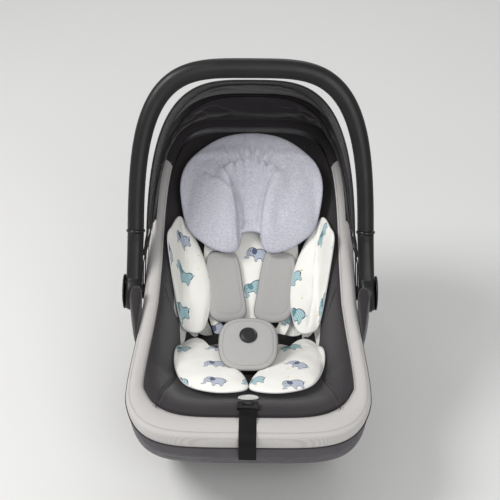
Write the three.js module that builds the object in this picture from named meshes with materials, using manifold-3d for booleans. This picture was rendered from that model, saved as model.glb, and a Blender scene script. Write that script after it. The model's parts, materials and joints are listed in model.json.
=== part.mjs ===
// Infant car seat (rear-facing carrier) with handle, canopy, harness and newborn insert.
// Millimetres, +Z up, foot end towards -Y, head end towards +Y, width along X.
import * as THREE from "three";
import Module from "manifold-3d";
import { mergeVertices } from "three/addons/utils/BufferGeometryUtils.js";

const wasm = await Module();
wasm.setup();

// ---------- driving dimensions ----------
const SHIFT_Y = 4.543; // moves the finished seat so that the middle of its length is at y = 0
const PIVOT_Z = 250; // height of the handle pivot; every y below is counted from the pivot
const GAP = 0.3; // clearance between pieces that touch
const DEG = Math.PI / 180;

const RIM = {
  foot: -313, head: 312, middle: -40, // ends of the rim outline and the y where its halves meet
  halfWidth: 177.5, flare: 25, flareLength: 220, // half width at the pivot and extra towards the foot
  footPower: 5, headPower: 5, // superellipse powers of the two halves
  footHeight: 208, headHeight: 424, climb: 1.7, // crest height at the ends, and how it climbs
};
const SHELL = {
  wall: 4, base: { halfWidth: 118, foot: -122, head: 150, z: 3.4 },
  lipDrop: 8, shoulder: 5, bossRadius: 13, bossX: 180,
  skirt: 20, fullness: 2, footFullness: 1.25, // upright edge at the foot; how full the flanks are
  turnShare: 0.85, // share of the wall's height steps that lie below the skirt
};
const BAND = { thickness: 3, width: 24, footWidth: 46, drop: 9, footDrop: 27, proud: 2 };
const COVER = { thickness: 8, floor: 0.76, edgeDrop: 4 };
const LINER = { thickness: 13, gap: 0.6 };
const SEGMENTS = 36; // steps round the bucket
// middle line of the seating surface, [y, z] from the knee roll to the head end
const SEAT_LINE = [
  [-400, 205], [-300, 205], [-270, 207], [-240, 202], [-180, 186], [-100, 163], [-50, 149],
  [-20, 146], [10, 163], [50, 199], [100, 242], [150, 285], [200, 327], [250, 370], [285, 400],
  [322, 425], [500, 560],
];
const HANDLE = {
  tilt: 25, reach: 384, halfWidth: 198.5, power: 3.8, radius: 14.2, ringAt: 107,
  hubRadius: 33, hubIn: 189.4, hubOut: 216, pinRadius: 6, buttonRadius: 13,
};
const CANOPY = {
  frontTilt: 35, midTilt: 48, frontReach: 361, midReach: 361, halfWidth: 175.5, power: 3.1,
  bowWidth: 8, bowThickness: 1.8, cloth: 2.2, clear: 3, eyeRadius: 13, lowest: 122,
};

// ---------- colours ----------
const finish = (color, roughness, metalness = 0) =>
  new THREE.MeshStandardMaterial({ color, roughness, metalness });
const MATERIALS = {
  shellPlastic: finish(0x4a474c, 0.6),
  blackPlastic: finish(0x232324, 0.42),
  blackGloss: finish(0x161617, 0.25),
  redPlastic: finish(0xb5251f, 0.45),
  foam: finish(0xdcdcd8, 0.9),
  darkCloth: finish(0x3b373c, 0.95),
  canopyCloth: finish(0x2b282b, 0.95),
  paleCloth: finish(0xcdc9c5, 0.95),
  printCloth: finish(0xeeeee8, 0.95),
  jersey: finish(0xcdcdd7, 0.95),
  taupeCloth: finish(0xb9b3ae, 0.95),
  webbing: finish(0x1c1c1d, 0.8),
  steel: finish(0x9a9a9c, 0.35, 1),
  rubber: finish(0x222222, 0.9),
  badge: finish(0xe8e8e4, 0.5),
};

// ---------- helpers ----------
const v3 = (x, y, z) => new THREE.Vector3(x, y, z);
const group = new THREE.Group();
group.name = "infant_car_seat";

// Merges doubled vertices, drops empty triangles and turns the faces outward.
function closed(geometry) {
  let g = geometry.clone();
  g.deleteAttribute("normal");
  g.deleteAttribute("uv");
  g = mergeVertices(g, 1e-3);
  const p = g.getAttribute("position");
  const index = g.getIndex().array;
  const kept = [];
  let volume = 0;
  for (let i = 0; i < index.length; i += 3) {
    const [a, b, c] = [index[i], index[i + 1], index[i + 2]];
    if (a === b || b === c || c === a) continue;
    kept.push(a, b, c);
    const [va, vb, vc] = [a, b, c].map((k) => v3(p.getX(k), p.getY(k), p.getZ(k)));
    volume += va.dot(vb.cross(vc));
  }
  if (volume < 0) {
    for (let i = 0; i < kept.length; i += 3) {
      [kept[i + 1], kept[i + 2]] = [kept[i + 2], kept[i + 1]];
    }
  }
  g.setIndex(kept);
  g.computeVertexNormals();
  return g;
}

function add(name, geometry, material) {
  const g = closed(geometry);
  g.translate(0, SHIFT_Y, 0);
  const mesh = new THREE.Mesh(g, material);
  mesh.name = name;
  group.add(mesh);
}

// Moves every vertex of a three.js geometry through fn(vertex) => Vector3.
function mapped(geometry, fn) {
  const g = geometry.clone();
  const p = g.getAttribute("position");
  for (let i = 0; i < p.count; i += 1) {
    const q = fn(v3(p.getX(i), p.getY(i), p.getZ(i)));
    p.setXYZ(i, q.x, q.y, q.z);
  }
  return g;
}

// A lathe whose profile points [a, b] are placed by fn(a, b, angle, profileIndex).
function turned(profile, steps, fn) {
  const g = new THREE.LatheGeometry(profile.map(([a, b]) => new THREE.Vector2(a, b)), steps);
  const p = g.getAttribute("position");
  const n = profile.length;
  for (let i = 0; i <= steps; i += 1) {
    const angle = ((i % steps) / steps) * 2 * Math.PI;
    for (let j = 0; j < n; j += 1) {
      const q = fn(profile[j][0], profile[j][1], angle, j);
      p.setXYZ(i * n + j, q.x, q.y, q.z);
    }
  }
  return g;
}

function toManifold(geometry) {
  const g = closed(geometry);
  const mesh = new wasm.Mesh({
    numProp: 3,
    vertProperties: new Float32Array(g.getAttribute("position").array),
    triVerts: new Uint32Array(g.getIndex().array),
  });
  return new wasm.Manifold(mesh);
}

function fromManifold(solid) {
  const mesh = solid.getMesh();
  const g = new THREE.BufferGeometry();
  g.setAttribute("position", new THREE.BufferAttribute(new Float32Array(mesh.vertProperties), 3));
  g.setIndex(Array.from(mesh.triVerts));
  return g;
}

function join(...geometries) {
  return fromManifold(geometries.map(toManifold).reduce((a, b) => a.add(b)));
}

function cut(geometry, ...tools) {
  return fromManifold(tools.map(toManifold).reduce((a, b) => a.subtract(b), toManifold(geometry)));
}

// A cylinder along X from x0 to x1 at height z and depth y.
function barX(x0, x1, radius, y, z, sides = 20) {
  const g = new THREE.CylinderGeometry(radius, radius, Math.abs(x1 - x0), sides);
  g.rotateZ(Math.PI / 2);
  g.translate((x0 + x1) / 2, y, z);
  return g;
}

// Smooth curve through a table of [y, z] points.
function along(table, y) {
  const last = table.length - 1;
  let i = 0;
  while (i < last - 1 && y > table[i + 1][0]) i += 1;
  const slope = (k) => {
    const [a, b] = [table[Math.max(k - 1, 0)], table[Math.min(k + 1, last)]];
    return (b[1] - a[1]) / (b[0] - a[0]);
  };
  const [[y0, z0], [y1, z1]] = [table[i], table[i + 1]];
  const h = y1 - y0;
  const t = (y - y0) / h;
  const [m0, m1] = [slope(i) * h, slope(i + 1) * h];
  return (2 * t ** 3 - 3 * t * t + 1) * z0 + (t ** 3 - 2 * t * t + t) * m0
    + (3 * t * t - 2 * t ** 3) * z1 + (t ** 3 - t * t) * m1;
}

const power = (value, n) => Math.sign(value) * Math.abs(value) ** (2 / n);
const mix = (a, b, t) => a + (b - a) * t;
const clamp = (t) => Math.min(1, Math.max(0, t));

// ---------- bucket surfaces ----------
function crest(y) {
  const s = clamp((y - RIM.foot) / (RIM.head - RIM.foot));
  return RIM.footHeight + (RIM.headHeight - RIM.footHeight) * s ** RIM.climb;
}
const widthAt = (y) => RIM.halfWidth + RIM.flare * clamp((-y - 15) / RIM.flareLength) ** 1.2;
const halfLength = (forward) => (forward ? RIM.middle - RIM.foot : RIM.head - RIM.middle);
// how much of the foot end a direction looks at: 0 at the sides and head, 1 at the foot
const footShare = (angle) => clamp(-Math.sin(angle) * 1.6 - 0.6) ** 0.8;
const bandWidth = (angle) => mix(BAND.width, BAND.footWidth, footShare(angle));

// Point of the rim outline at an angle, moved inward by inset.
function rimPoint(angle, inset = 0) {
  const [c, s] = [Math.cos(angle), Math.sin(angle)];
  const n = s < 0 ? RIM.footPower : RIM.headPower;
  const y = RIM.middle + (halfLength(s < 0) - inset) * power(s, n);
  return [(widthAt(y) - inset) * power(c, n), y];
}

// Fraction of the way from the middle of the seat to the inner edge of the band.
function reachOf(x, y) {
  const n = y < RIM.middle ? RIM.footPower : RIM.headPower;
  const angle = Math.atan2((y - RIM.middle) * 0.55, x);
  const inset = bandWidth(angle);
  const b = halfLength(y < RIM.middle) - inset;
  const a = widthAt(y) - inset;
  return (Math.abs(x / a) ** n + Math.abs((y - RIM.middle) / b) ** n) ** (1 / n);
}

// Height of the cover's seating surface.
function seatHeight(x, y) {
  const low = along(SEAT_LINE, y);
  const t = clamp((reachOf(x, y) - COVER.floor) / (1 - COVER.floor));
  return low + Math.max(0, crest(y) - COVER.edgeDrop - low) * t * t * (3 - 2 * t);
}

// ---------- shell, liner, cover ----------
function shellPoint(angle, t, inner) {
  const b = SHELL.base;
  const n = 3;
  const shrink = inner ? SHELL.wall + 2 : 0;
  const s = Math.sin(angle);
  const baseMid = (b.foot + b.head) / 2;
  const bx = (b.halfWidth - shrink) * power(Math.cos(angle), n);
  const by = baseMid + ((b.head - b.foot) / 2 - shrink) * power(s, n);
  const inset = inner ? SHELL.shoulder + SHELL.wall : 0;
  const [px, py] = rimPoint(angle, inset);
  const [, ry] = rimPoint(angle);
  const drop = mix(BAND.drop, BAND.footDrop, footShare(angle)) + 1;
  const top = crest(ry) - (inner ? SHELL.lipDrop : drop);
  const low = b.z + (inner ? SHELL.wall : 0);
  const full = mix(SHELL.fullness, SHELL.footFullness, footShare(angle));
  const skirt = SHELL.skirt * footShare(angle);
  const turn = clamp(t / SHELL.turnShare) * Math.PI / 2;
  const [out, up] = [Math.sin(turn) ** (2 / full), 1 - Math.cos(turn) ** (2 / full)];
  const edge = t > SHELL.turnShare ? skirt * (t - SHELL.turnShare) / (1 - SHELL.turnShare) : 0;
  return v3(mix(bx, px, out), mix(by, py, out), mix(low, top - skirt, up) + edge);
}

function carrierShell() {
  const levels = [0, 0.12, 0.25, 0.4, 0.55, 0.7, 0.85, 1];
  const profile = [[0, 0]];
  levels.forEach((t) => profile.push([1, t]));
  profile.push([2, 0], [2, 1]);
  [...levels].reverse().forEach((t) => profile.push([3, t]));
  profile.push([0, 1]);
  const baseMid = (SHELL.base.foot + SHELL.base.head) / 2;
  const bowl = turned(profile, SEGMENTS, (kind, t, angle) => {
    if (kind === 0) return v3(0, baseMid, SHELL.base.z + t * SHELL.wall);
    if (kind === 1) return shellPoint(angle, t, false);
    if (kind === 3) return shellPoint(angle, t, true);
    const [, y] = rimPoint(angle);
    const [px, py] = rimPoint(angle, SHELL.shoulder);
    const low = shellPoint(angle, 1, false).z;
    return v3(px, py, t === 0 ? low : crest(y) - SHELL.lipDrop);
  });
  const bossFoot = SHELL.bossX - 14; // where each boss starts, inside the wall
  const bosses = [-1, 1].map((side) =>
    barX(side * bossFoot, side * SHELL.bossX, SHELL.bossRadius, 0, PIVOT_Z));
  return join(bowl, ...bosses);
}

// A cup between two depths below the seating surface, out to the inner edge of the band.
// The liner lists its faces the other way round, so that its facets match those of the cover.
function seatCup(top, bottom, inset, underFirst) {
  const steps = [0, 0.13, 0.26, 0.39, 0.52, 0.64, 0.74, 0.82, 0.9, 1];
  const profile = steps.map((r) => [r, underFirst ? 1 : 0]);
  [...steps].reverse().forEach((r) => profile.push([r, underFirst ? 0 : 1]));
  return turned(profile, SEGMENTS, (r, under, angle) => {
    const [ex, ey] = rimPoint(angle, bandWidth(angle) + inset);
    const [x, y] = [ex * r, RIM.middle + (ey - RIM.middle) * r];
    return v3(x, y, seatHeight(x, y) - (under ? bottom : top));
  });
}

function coverBand() {
  const t = BAND.thickness;
  const out = -BAND.proud;
  // [share of the band's width, inward offset, height against the crest or null for the lower edge]
  const profile = [
    [1, 0, -6], [0.62, 0, -1], [0.3, 0, 0], [0, 1.5, -3], [0, out, -7], [0, out, null],
    [0, out + t, null], [0, out + t, -8.5], [0, 4.5, -6.4], [0.36, 0, -t], [0.62, 0, -1 - t], [1, 0, -6 - t],
  ];
  profile.push(profile[0]);
  return turned(profile, SEGMENTS, (share, offset, angle, j) => {
    const height = profile[j][2];
    const drop = mix(BAND.drop, BAND.footDrop, footShare(angle));
    const [x, y] = rimPoint(angle, share * bandWidth(angle) + offset);
    const [, edgeY] = rimPoint(angle);
    return v3(x, y, crest(edgeY) + (height === null ? -drop : height));
  });
}

// Padded flap of the cover stretched over the shell's shoulder in front of the hub.
function sideFlap(side) {
  const outline = [[-30, 281], [-37, 262], [-40, 244], [-38, 226], [-54, 206], [-80, 200],
    [-104, 214], [-106, 236], [-84, 256], [-54, 276], [-38, 286]];
  const curve = new THREE.CatmullRomCurve3(outline.map(([y, z]) => v3(y, z, 0)), true);
  const centre = [-66, 240];
  const [footEnd, fadeLength] = [-106, 60]; // it bulges less towards its foot end
  const [thinOuter, fullOuter, clearOfBand] = [192, 205, 3.2];
  const profile = [[0, 0], [0.9, 0], [1, 0.3], [0.9, 0.8], [0.6, 1], [0, 1]];
  return turned(profile, 26, (r, share, angle) => {
    const p = curve.getPoint(angle / (2 * Math.PI));
    const y = mix(centre[0], p.x, r);
    const z = mix(centre[1], p.y, r);
    const outer = mix(thinOuter, fullOuter, clamp((y - footEnd) / fadeLength));
    return v3(side * mix(widthAt(y) + clearOfBand, outer, share), y, z);
  });
}

// ---------- cushions on the seat ----------
// A cushion on the seating surface: outline(angle) => [x, y], from a height low to a height high.
function cushion(outline, centre, low, high, steps = 24) {
  const profile = [
    [0, low], [0.4, low], [0.72, low], [0.96, low + (high - low) * 0.12], [1, low + (high - low) * 0.4],
    [0.93, low + (high - low) * 0.75], [0.72, low + (high - low) * 0.95], [0.4, high], [0, high],
  ];
  return turned(profile, steps, (r, w, angle) => {
    const [ox, oy] = outline(angle);
    const x = mix(centre[0], ox, r);
    const y = mix(centre[1], oy, r);
    return v3(x, y, seatHeight(x, y) + w);
  });
}

// Closed outline through points, as a function of angle round their centre.
function softOutline(points) {
  const curve = new THREE.CatmullRomCurve3(points.map(([x, y]) => v3(x, y, 0)), true);
  return (angle) => {
    const p = curve.getPoint(angle / (2 * Math.PI));
    return [p.x, p.y];
  };
}

function mirrored(points, side) {
  return points.map(([x, y]) => [side * x, y]);
}

const WING = [[145, 60], [140, 100], [127, 134], [106, 114], [82, 70], [77, 30], [92, -12], [124, -2]];
const LOBE = [[127, -110], [122, -56], [100, -28], [60, -34], [24, -66], [19, -128], [8, -165], [8, -204],
  [54, -214], [104, -186]];
const PILLOW = [[127, 168], [112, 216], [62, 244], [0, 248], [-62, 244], [-112, 216], [-127, 168],
  [-112, 116], [-60, 92], [-30, 106], [0, 112], [30, 106], [60, 92], [112, 116]];
const SHOULDER = [[70, 60], [66, 92], [49, 98], [30, 93], [16, 44], [11, 12], [34, 3], [62, 12]];
const BACK_PANEL = [[70, 60], [76, 140], [50, 186], [0, 190], [-50, 186], [-76, 140], [-70, 60],
  [-60, 12], [-34, -10], [0, -14], [34, -10], [60, 12]];

// ---------- flat webbing ----------
// Webbing of a given width (along X) through points [x, y, z].
function webbing(points, width, thickness, steps = 16) {
  const curve = new THREE.CatmullRomCurve3(points.map((p) => v3(...p)));
  const g = new THREE.BoxGeometry(width, 1, thickness, 1, steps, 1);
  const facing = Math.sign(curve.getTangent(0).y); // keeps the same face up all along the strap
  return mapped(g, (p) => {
    const t = p.y + 0.5;
    const centre = curve.getPoint(t);
    const run = curve.getTangent(t);
    const up = v3(0, -run.z, run.y).normalize();
    return centre.add(v3(p.x, 0, 0)).add(up.multiplyScalar(p.z * facing));
  });
}

const onSeat = (x, y, w) => [x, y, seatHeight(x, y) + w];

// ---------- tilted group in the middle: pad, badge, buckle ----------
const BUCKLE_TILT = 20.7 * DEG; // falls towards the foot end
const BUCKLE_CENTRE = v3(-2, -95, 207);
function tilted(g, lift, forward = 0) {
  g.rotateX(BUCKLE_TILT);
  const offset = v3(0, -forward, lift).applyAxisAngle(v3(1, 0, 0), BUCKLE_TILT);
  g.translate(BUCKLE_CENTRE.x + offset.x, BUCKLE_CENTRE.y + offset.y, BUCKLE_CENTRE.z + offset.z);
  return g;
}

function roundedPlate(halfX, halfY, n, thickness, bevel, steps = 24) {
  const [low, high] = [thickness * 0.3, thickness * 0.7];
  const profile = [[0, 0], [1 - bevel, 0], [1, low], [1, high], [1 - bevel, thickness], [0, thickness]];
  return turned(profile, steps, (r, z, angle) =>
    v3(r * halfX * power(Math.cos(angle), n), r * halfY * power(Math.sin(angle), n), z));
}

// ---------- handle ----------
const swingBack = (g, degrees) => {
  g.translate(0, 0, -PIVOT_Z);
  g.rotateX(-degrees * DEG);
  g.translate(0, 0, PIVOT_Z);
  return g;
};

function archPoint(t, reach, halfWidth, n) {
  const angle = Math.PI * (1 - t);
  return v3(halfWidth * power(Math.cos(angle), n), 0, PIVOT_Z + reach * power(Math.sin(angle), n));
}

// Spreads steps evenly over the upright legs of an arch as well as its top.
const spread = (t) => (t < 0.5 ? 2 * t * t : 1 - 2 * (1 - t) * (1 - t));

// Finds the arch parameter where its height above the pivot is the given one, on the left half.
function archStart(height, reach, n) {
  return Math.asin((height / reach) ** (n / 2)) / Math.PI;
}

function handleGrip() {
  const steps = 40;
  const start = archStart(HANDLE.ringAt + 3, HANDLE.reach, HANDLE.power);
  const points = [];
  for (let i = 0; i <= steps; i += 1) {
    const t = mix(start, 1 - start, spread(i / steps));
    points.push(archPoint(t, HANDLE.reach, HANDLE.halfWidth, HANDLE.power));
  }
  const extrudePath = new THREE.CatmullRomCurve3(points);
  const shape = new THREE.Shape();
  shape.absarc(0, 0, HANDLE.radius, 0, 2 * Math.PI);
  return new THREE.ExtrudeGeometry(shape, { steps, curveSegments: 8, bevelEnabled: false, extrudePath });
}

const ARM_X = archPoint(archStart(HANDLE.ringAt, HANDLE.reach, HANDLE.power), HANDLE.reach,
  HANDLE.halfWidth, HANDLE.power).x;

function handleArm(side) {
  const mid = (HANDLE.hubIn + HANDLE.hubOut) / 2;
  const half = (HANDLE.hubOut - HANDLE.hubIn) / 2;
  const hub = barX(side * HANDLE.hubIn, side * HANDLE.hubOut, HANDLE.hubRadius, 0, PIVOT_Z, 36);
  const arm = new THREE.CylinderGeometry(1, 1, 1, 20, 6);
  arm.rotateX(Math.PI / 2);
  const low = 6;
  const high = HANDLE.ringAt - 3;
  const shaped = mapped(arm, (p) => {
    const t = p.z + 0.5;
    const rx = mix(half - 1.5, HANDLE.radius, t ** 1.5);
    const ry = mix(25, HANDLE.radius, clamp(t * 1.2) ** 0.6);
    const cx = mix(mid, -ARM_X, t ** 0.8);
    return v3(side * (cx + p.x * rx), p.y * ry, PIVOT_Z + mix(low, high, t));
  });
  const past = side * (HANDLE.hubOut + 5);
  const bore = barX(side * (HANDLE.hubIn - 5), past, HANDLE.pinRadius + 0.6, 0, PIVOT_Z, 24);
  const recess = barX(side * (HANDLE.hubOut - 12), past, HANDLE.buttonRadius + 1, 0, PIVOT_Z, 24);
  return cut(join(hub, shaped), bore, recess);
}

function handleRing(side) {
  const ring = new THREE.LatheGeometry([
    new THREE.Vector2(0, -2.2), new THREE.Vector2(15.6, -2.2), new THREE.Vector2(16.4, -1),
    new THREE.Vector2(16.4, 1), new THREE.Vector2(15.6, 2.2), new THREE.Vector2(0, 2.2),
  ], 24);
  ring.rotateX(Math.PI / 2);
  ring.rotateY(side * -0.4 * DEG);
  ring.translate(-side * ARM_X, 0, PIVOT_Z + HANDLE.ringAt);
  return ring;
}

function hubCover(side) {
  const out = (distance) => side * (HANDLE.hubOut + distance);
  const disc = barX(out(GAP), out(3.6), HANDLE.hubRadius - 3, 0, PIVOT_Z, 36);
  const hole = barX(out(0), out(6), HANDLE.buttonRadius + 0.5, 0, PIVOT_Z, 24);
  return cut(disc, hole);
}

function pivotPin(side) {
  const at = (x) => side * x;
  return join(
    barX(at(SHELL.bossX + GAP), at(SHELL.bossX + 2), 12, 0, PIVOT_Z, 24),
    barX(at(SHELL.bossX + 1), at(HANDLE.hubOut - 13), HANDLE.pinRadius, 0, PIVOT_Z, 24),
  );
}

// ---------- canopy ----------
// Point of a bow's upright arch: it leaves the eye at eyeX and leans in to clear the handle.
function bowArch(t, lowest, reach, eyeX, lean, lift = 0) {
  const start = archStart(lowest, reach, CANOPY.power);
  const p = archPoint(mix(start, 1 - start, spread(t)), reach + lift, CANOPY.halfWidth + lift, CANOPY.power);
  const low = clamp((lean[1] - (p.z - PIVOT_Z)) / (lean[1] - lean[0]));
  p.x = mix(p.x, Math.sign(p.x) * (eyeX + lift), low * low * (3 - 2 * low));
  return p;
}

function bow(tilt, reach, eyeIn, eyeOut, lean) {
  const g = new THREE.BoxGeometry(CANOPY.bowThickness, 1, CANOPY.bowWidth, 1, 48, 1);
  const at = (t) => bowArch(clamp(t), 7, reach, (eyeIn + eyeOut) / 2, lean);
  const strip = mapped(g, (p) => {
    const t = p.y + 0.5;
    const run = at(t + 0.004).sub(at(t - 0.004)).normalize();
    const out = v3(-run.z, 0, run.x);
    return at(t).add(out.multiplyScalar(p.x)).add(v3(0, p.z, 0));
  });
  const eyes = [-1, 1].map((side) =>
    barX(side * eyeIn, side * eyeOut, CANOPY.eyeRadius, 0, PIVOT_Z, 24));
  const bores = [-1, 1].map((side) =>
    barX(side * (eyeIn - 8), side * (eyeOut + 8), HANDLE.pinRadius + 0.7, 0, PIVOT_Z, 24));
  return swingBack(cut(join(strip, ...eyes), ...bores), tilt);
}

// Point of a bow's arch, leaning back by tilt, lifted off the bow by lift.
function bowPoint(t, tilt, reach, eyeX, lift) {
  const p = bowArch(t, CANOPY.lowest, reach, eyeX, [1, 2], lift);
  return p.sub(v3(0, 0, PIVOT_Z)).applyAxisAngle(v3(1, 0, 0), -tilt * DEG).add(v3(0, 0, PIVOT_Z));
}

// Rear edge of the canopy, just above the rim from one side round the head to the other.
function rimEdge(t, lift) {
  const alongRim = clamp((CANOPY.lowest - 6 - RIM.middle) / halfLength(false));
  const from = Math.PI - Math.asin(alongRim ** (RIM.headPower / 2));
  const angle = mix(from, Math.PI - from, t);
  const [x, y] = rimPoint(angle, 8 - lift);
  return v3(x, y, crest(y) + 8 + lift);
}

function canopyPanel(edgeA, edgeB) {
  const g = new THREE.BoxGeometry(1, 1, 1, 36, 3, 1);
  return mapped(g, (p) => {
    const t = p.x + 0.5;
    const across = p.y + 0.5;
    const lift = (p.z + 0.5) * CANOPY.cloth;
    return edgeA(t, lift).lerp(edgeB(t, lift), across);
  });
}

// ---------- assembly ----------
add("carrier_shell", carrierShell(), MATERIALS.shellPlastic);
const linerTop = COVER.thickness + LINER.gap;
add("foam_liner", seatCup(linerTop, linerTop + LINER.thickness, 1, true), MATERIALS.foam);
add("seat_cover", seatCup(0, COVER.thickness, 1, false), MATERIALS.darkCloth);
add("cover_band", coverBand(), MATERIALS.paleCloth);

const FOOT_PADS = [
  ["front_left", -1, -1], ["front_right", 1, -1], ["rear_left", -1, 1], ["rear_right", 1, 1],
];
FOOT_PADS.forEach(([label, sx, sy]) => {
  const pad = roundedPlate(24, 12, 4, 3.1, 0.08, 16);
  pad.translate(sx * 72, (sy < 0 ? SHELL.base.foot + 34 : SHELL.base.head - 34), 0);
  add(`foot_pad_${label}`, pad, MATERIALS.rubber);
});

const SIDES = [["left", -1], ["right", 1]];
SIDES.forEach(([label, side]) => {
  add(`side_flap_${label}`, sideFlap(side), MATERIALS.darkCloth);
  add(`pivot_pin_${label}`, pivotPin(side), MATERIALS.steel);
  add(`handle_arm_${label}`, swingBack(handleArm(side), HANDLE.tilt), MATERIALS.blackPlastic);
  add(`handle_ring_${label}`, swingBack(handleRing(side), HANDLE.tilt), MATERIALS.blackGloss);
  add(`hub_cover_${label}`, swingBack(hubCover(side), HANDLE.tilt), MATERIALS.blackPlastic);
  const button = join(
    barX(side * (HANDLE.hubOut - 5), side * (HANDLE.hubOut + 2), HANDLE.buttonRadius, 0, PIVOT_Z),
    barX(side * (HANDLE.hubOut + 1), side * (HANDLE.hubOut + 5), HANDLE.buttonRadius - 1.5, 0, PIVOT_Z),
  );
  add(`handle_button_${label}`, swingBack(button, HANDLE.tilt), MATERIALS.blackGloss);
});
add("handle_grip", swingBack(handleGrip(), HANDLE.tilt), MATERIALS.blackPlastic);

// red catch under the right hub, which slides backwards
const CATCH = { x: 208.5, y: -2, below: 2.2 };
const catchTab = new THREE.BoxGeometry(9, 10, 3.8);
catchTab.translate(CATCH.x, CATCH.y, PIVOT_Z - HANDLE.hubRadius - CATCH.below);
add("handle_catch", catchTab, MATERIALS.redPlastic);

const MID_EYE = [182.2, 184.2];
const FRONT_EYE = [185, 187.2];
const MID_LEAN = [74, 122]; // heights between which each bow leans in from its eye
const FRONT_LEAN = [46, 100];
const bowMid = bow(CANOPY.midTilt, CANOPY.midReach, ...MID_EYE, MID_LEAN);
const bowFront = bow(CANOPY.frontTilt, CANOPY.frontReach, ...FRONT_EYE, FRONT_LEAN);
add("canopy_bow_mid", bowMid, MATERIALS.blackPlastic);
add("canopy_bow_front", bowFront, MATERIALS.blackPlastic);
const overBow = (tilt, reach) => (t, lift) => bowPoint(t, tilt, reach, CANOPY.halfWidth, lift + CANOPY.clear);
const overFront = overBow(CANOPY.frontTilt - 0.8, CANOPY.frontReach);
const overMid = (shift) => overBow(CANOPY.midTilt + shift, CANOPY.midReach);
add("canopy_panel_front", canopyPanel(overFront, overMid(-0.5)), MATERIALS.canopyCloth);
add("canopy_panel_rear", canopyPanel(overMid(0.5), rimEdge), MATERIALS.canopyCloth);

// cushions of the newborn insert; from and to are heights above the seating surface
const LAYERS = {
  back: { outline: BACK_PANEL, centre: [0, 80], from: 11.2, to: 14.8 },
  wing: { outline: WING, centre: [110, 64], from: 22.5, to: 40 },
  seat: { outline: LOBE, centre: [66, -120], from: 6, to: 20.6 },
  shoulder: { outline: SHOULDER, centre: [44, 46], from: 21, to: 31 },
  pillow: { outline: PILLOW, centre: [0, 174], from: 35, to: 68, steps: 42 },
};
function layer({ outline, centre: [x, y], from, to, steps = 24 }, side = 1) {
  return cushion(softOutline(mirrored(outline, side)), [side * x, y], from, to, steps);
}
add("insert_back", layer(LAYERS.back), MATERIALS.printCloth);
SIDES.forEach(([label, side]) => {
  add(`insert_wing_${label}`, layer(LAYERS.wing, side), MATERIALS.printCloth);
  add(`insert_seat_${label}`, layer(LAYERS.seat, side), MATERIALS.printCloth);
  add(`shoulder_pad_${label}`, layer(LAYERS.shoulder, side), MATERIALS.taupeCloth);
});
add("head_pillow", layer(LAYERS.pillow), MATERIALS.jersey);

// harness webbing
SIDES.forEach(([label, side]) => {
  const shoulder = [];
  for (let y = 205; y >= 5; y -= 20) shoulder.push(onSeat(side * mix(37, 52, y / 205), y, 18));
  shoulder.push([side * 30, -14, 181], [side * 18, -32, 199]);
  add(`shoulder_strap_${label}`, webbing(shoulder, 26, 1.6, 18), MATERIALS.webbing);
  const lap = [onSeat(side * 98, -28, 25), onSeat(side * 84, -36, 28), onSeat(side * 68, -50, 33),
    [side * 48, -60, 196]];
  const strap = mapped(new THREE.BoxGeometry(1, 25, 1.8, 12, 1, 1), (p) => {
    const curve = new THREE.CatmullRomCurve3(lap.map((q) => v3(...q)));
    return curve.getPoint(p.x + 0.5).add(v3(0, p.y * 0.95, p.z + p.y * 0.12));
  });
  add(`lap_strap_${label}`, strap, MATERIALS.webbing);
  const tongue = new THREE.BoxGeometry(16, 22, 3);
  add(`buckle_tongue_${label}`, tilted(tongue.translate(side * 11 + 2, 0, 0), -9, -39), MATERIALS.steel);
});
const riser = [[0, -128, 172], [0, -125, 178], [0, -119, 183]];
add("crotch_strap", webbing(riser, 26, 2, 6), MATERIALS.webbing);
add("buckle_housing", tilted(cut(
  roundedPlate(23, 27, 4, 13, 0.06),
  roundedPlate(8.4, 8.4, 5, 11.5, 0.02, 20).translate(0, -10, 4.5),
), -15), MATERIALS.blackPlastic);
add("buckle_button", tilted(roundedPlate(8, 8, 5, 6.5, 0.06, 20).translate(0, -10, 8.4 + GAP), -15),
  MATERIALS.redPlastic);
add("crotch_pad", tilted(roundedPlate(49.5, 50, 2.8, 11, 0.08, 36), 2), MATERIALS.taupeCloth);
add("crotch_badge", tilted(roundedPlate(15, 15, 2, 2, 0.08, 28).translate(0, 13, 0), 13.4),
  MATERIALS.blackGloss);

// harness adjuster at the front, its strap over the front edge, and the oval patch above it
const ADJUSTER = { y: -250, wellY: -247.5, base: seatHeight(0, -250) };
const PATCH = { y: -216, halfX: 17, halfY: 10, lift: 1.2 };
const overCover = (lift) => ADJUSTER.base + lift;
add("adjuster_housing", cut(
  new THREE.BoxGeometry(34, 16, 5).translate(0, ADJUSTER.y, overCover(4.1)),
  new THREE.BoxGeometry(16.6, 6.6, 20).translate(0, ADJUSTER.wellY, overCover(12.3)),
), MATERIALS.blackPlastic);
add("adjuster_button", new THREE.BoxGeometry(16, 6, 3).translate(0, ADJUSTER.wellY, overCover(6.3)),
  MATERIALS.blackGloss);
add("adjuster_strap", webbing([
  [0, -258.7, overCover(3.4)], [0, -266, 210], [0, -278, 211.5], [0, -296, 209.5], [0, -313, 207],
  [0, -321.6, 196], [0, -321.2, 178], [0, -321.2, 162],
], 28, 1.8, 22), MATERIALS.webbing);
const patch = roundedPlate(PATCH.halfX, PATCH.halfY, 2, 2.2, 0.1, 28);
add("cover_patch", mapped(patch, (p) => {
  const y = PATCH.y + p.y;
  return v3(p.x, y, seatHeight(p.x, y) + PATCH.lift + p.z);
}), MATERIALS.badge);

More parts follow.
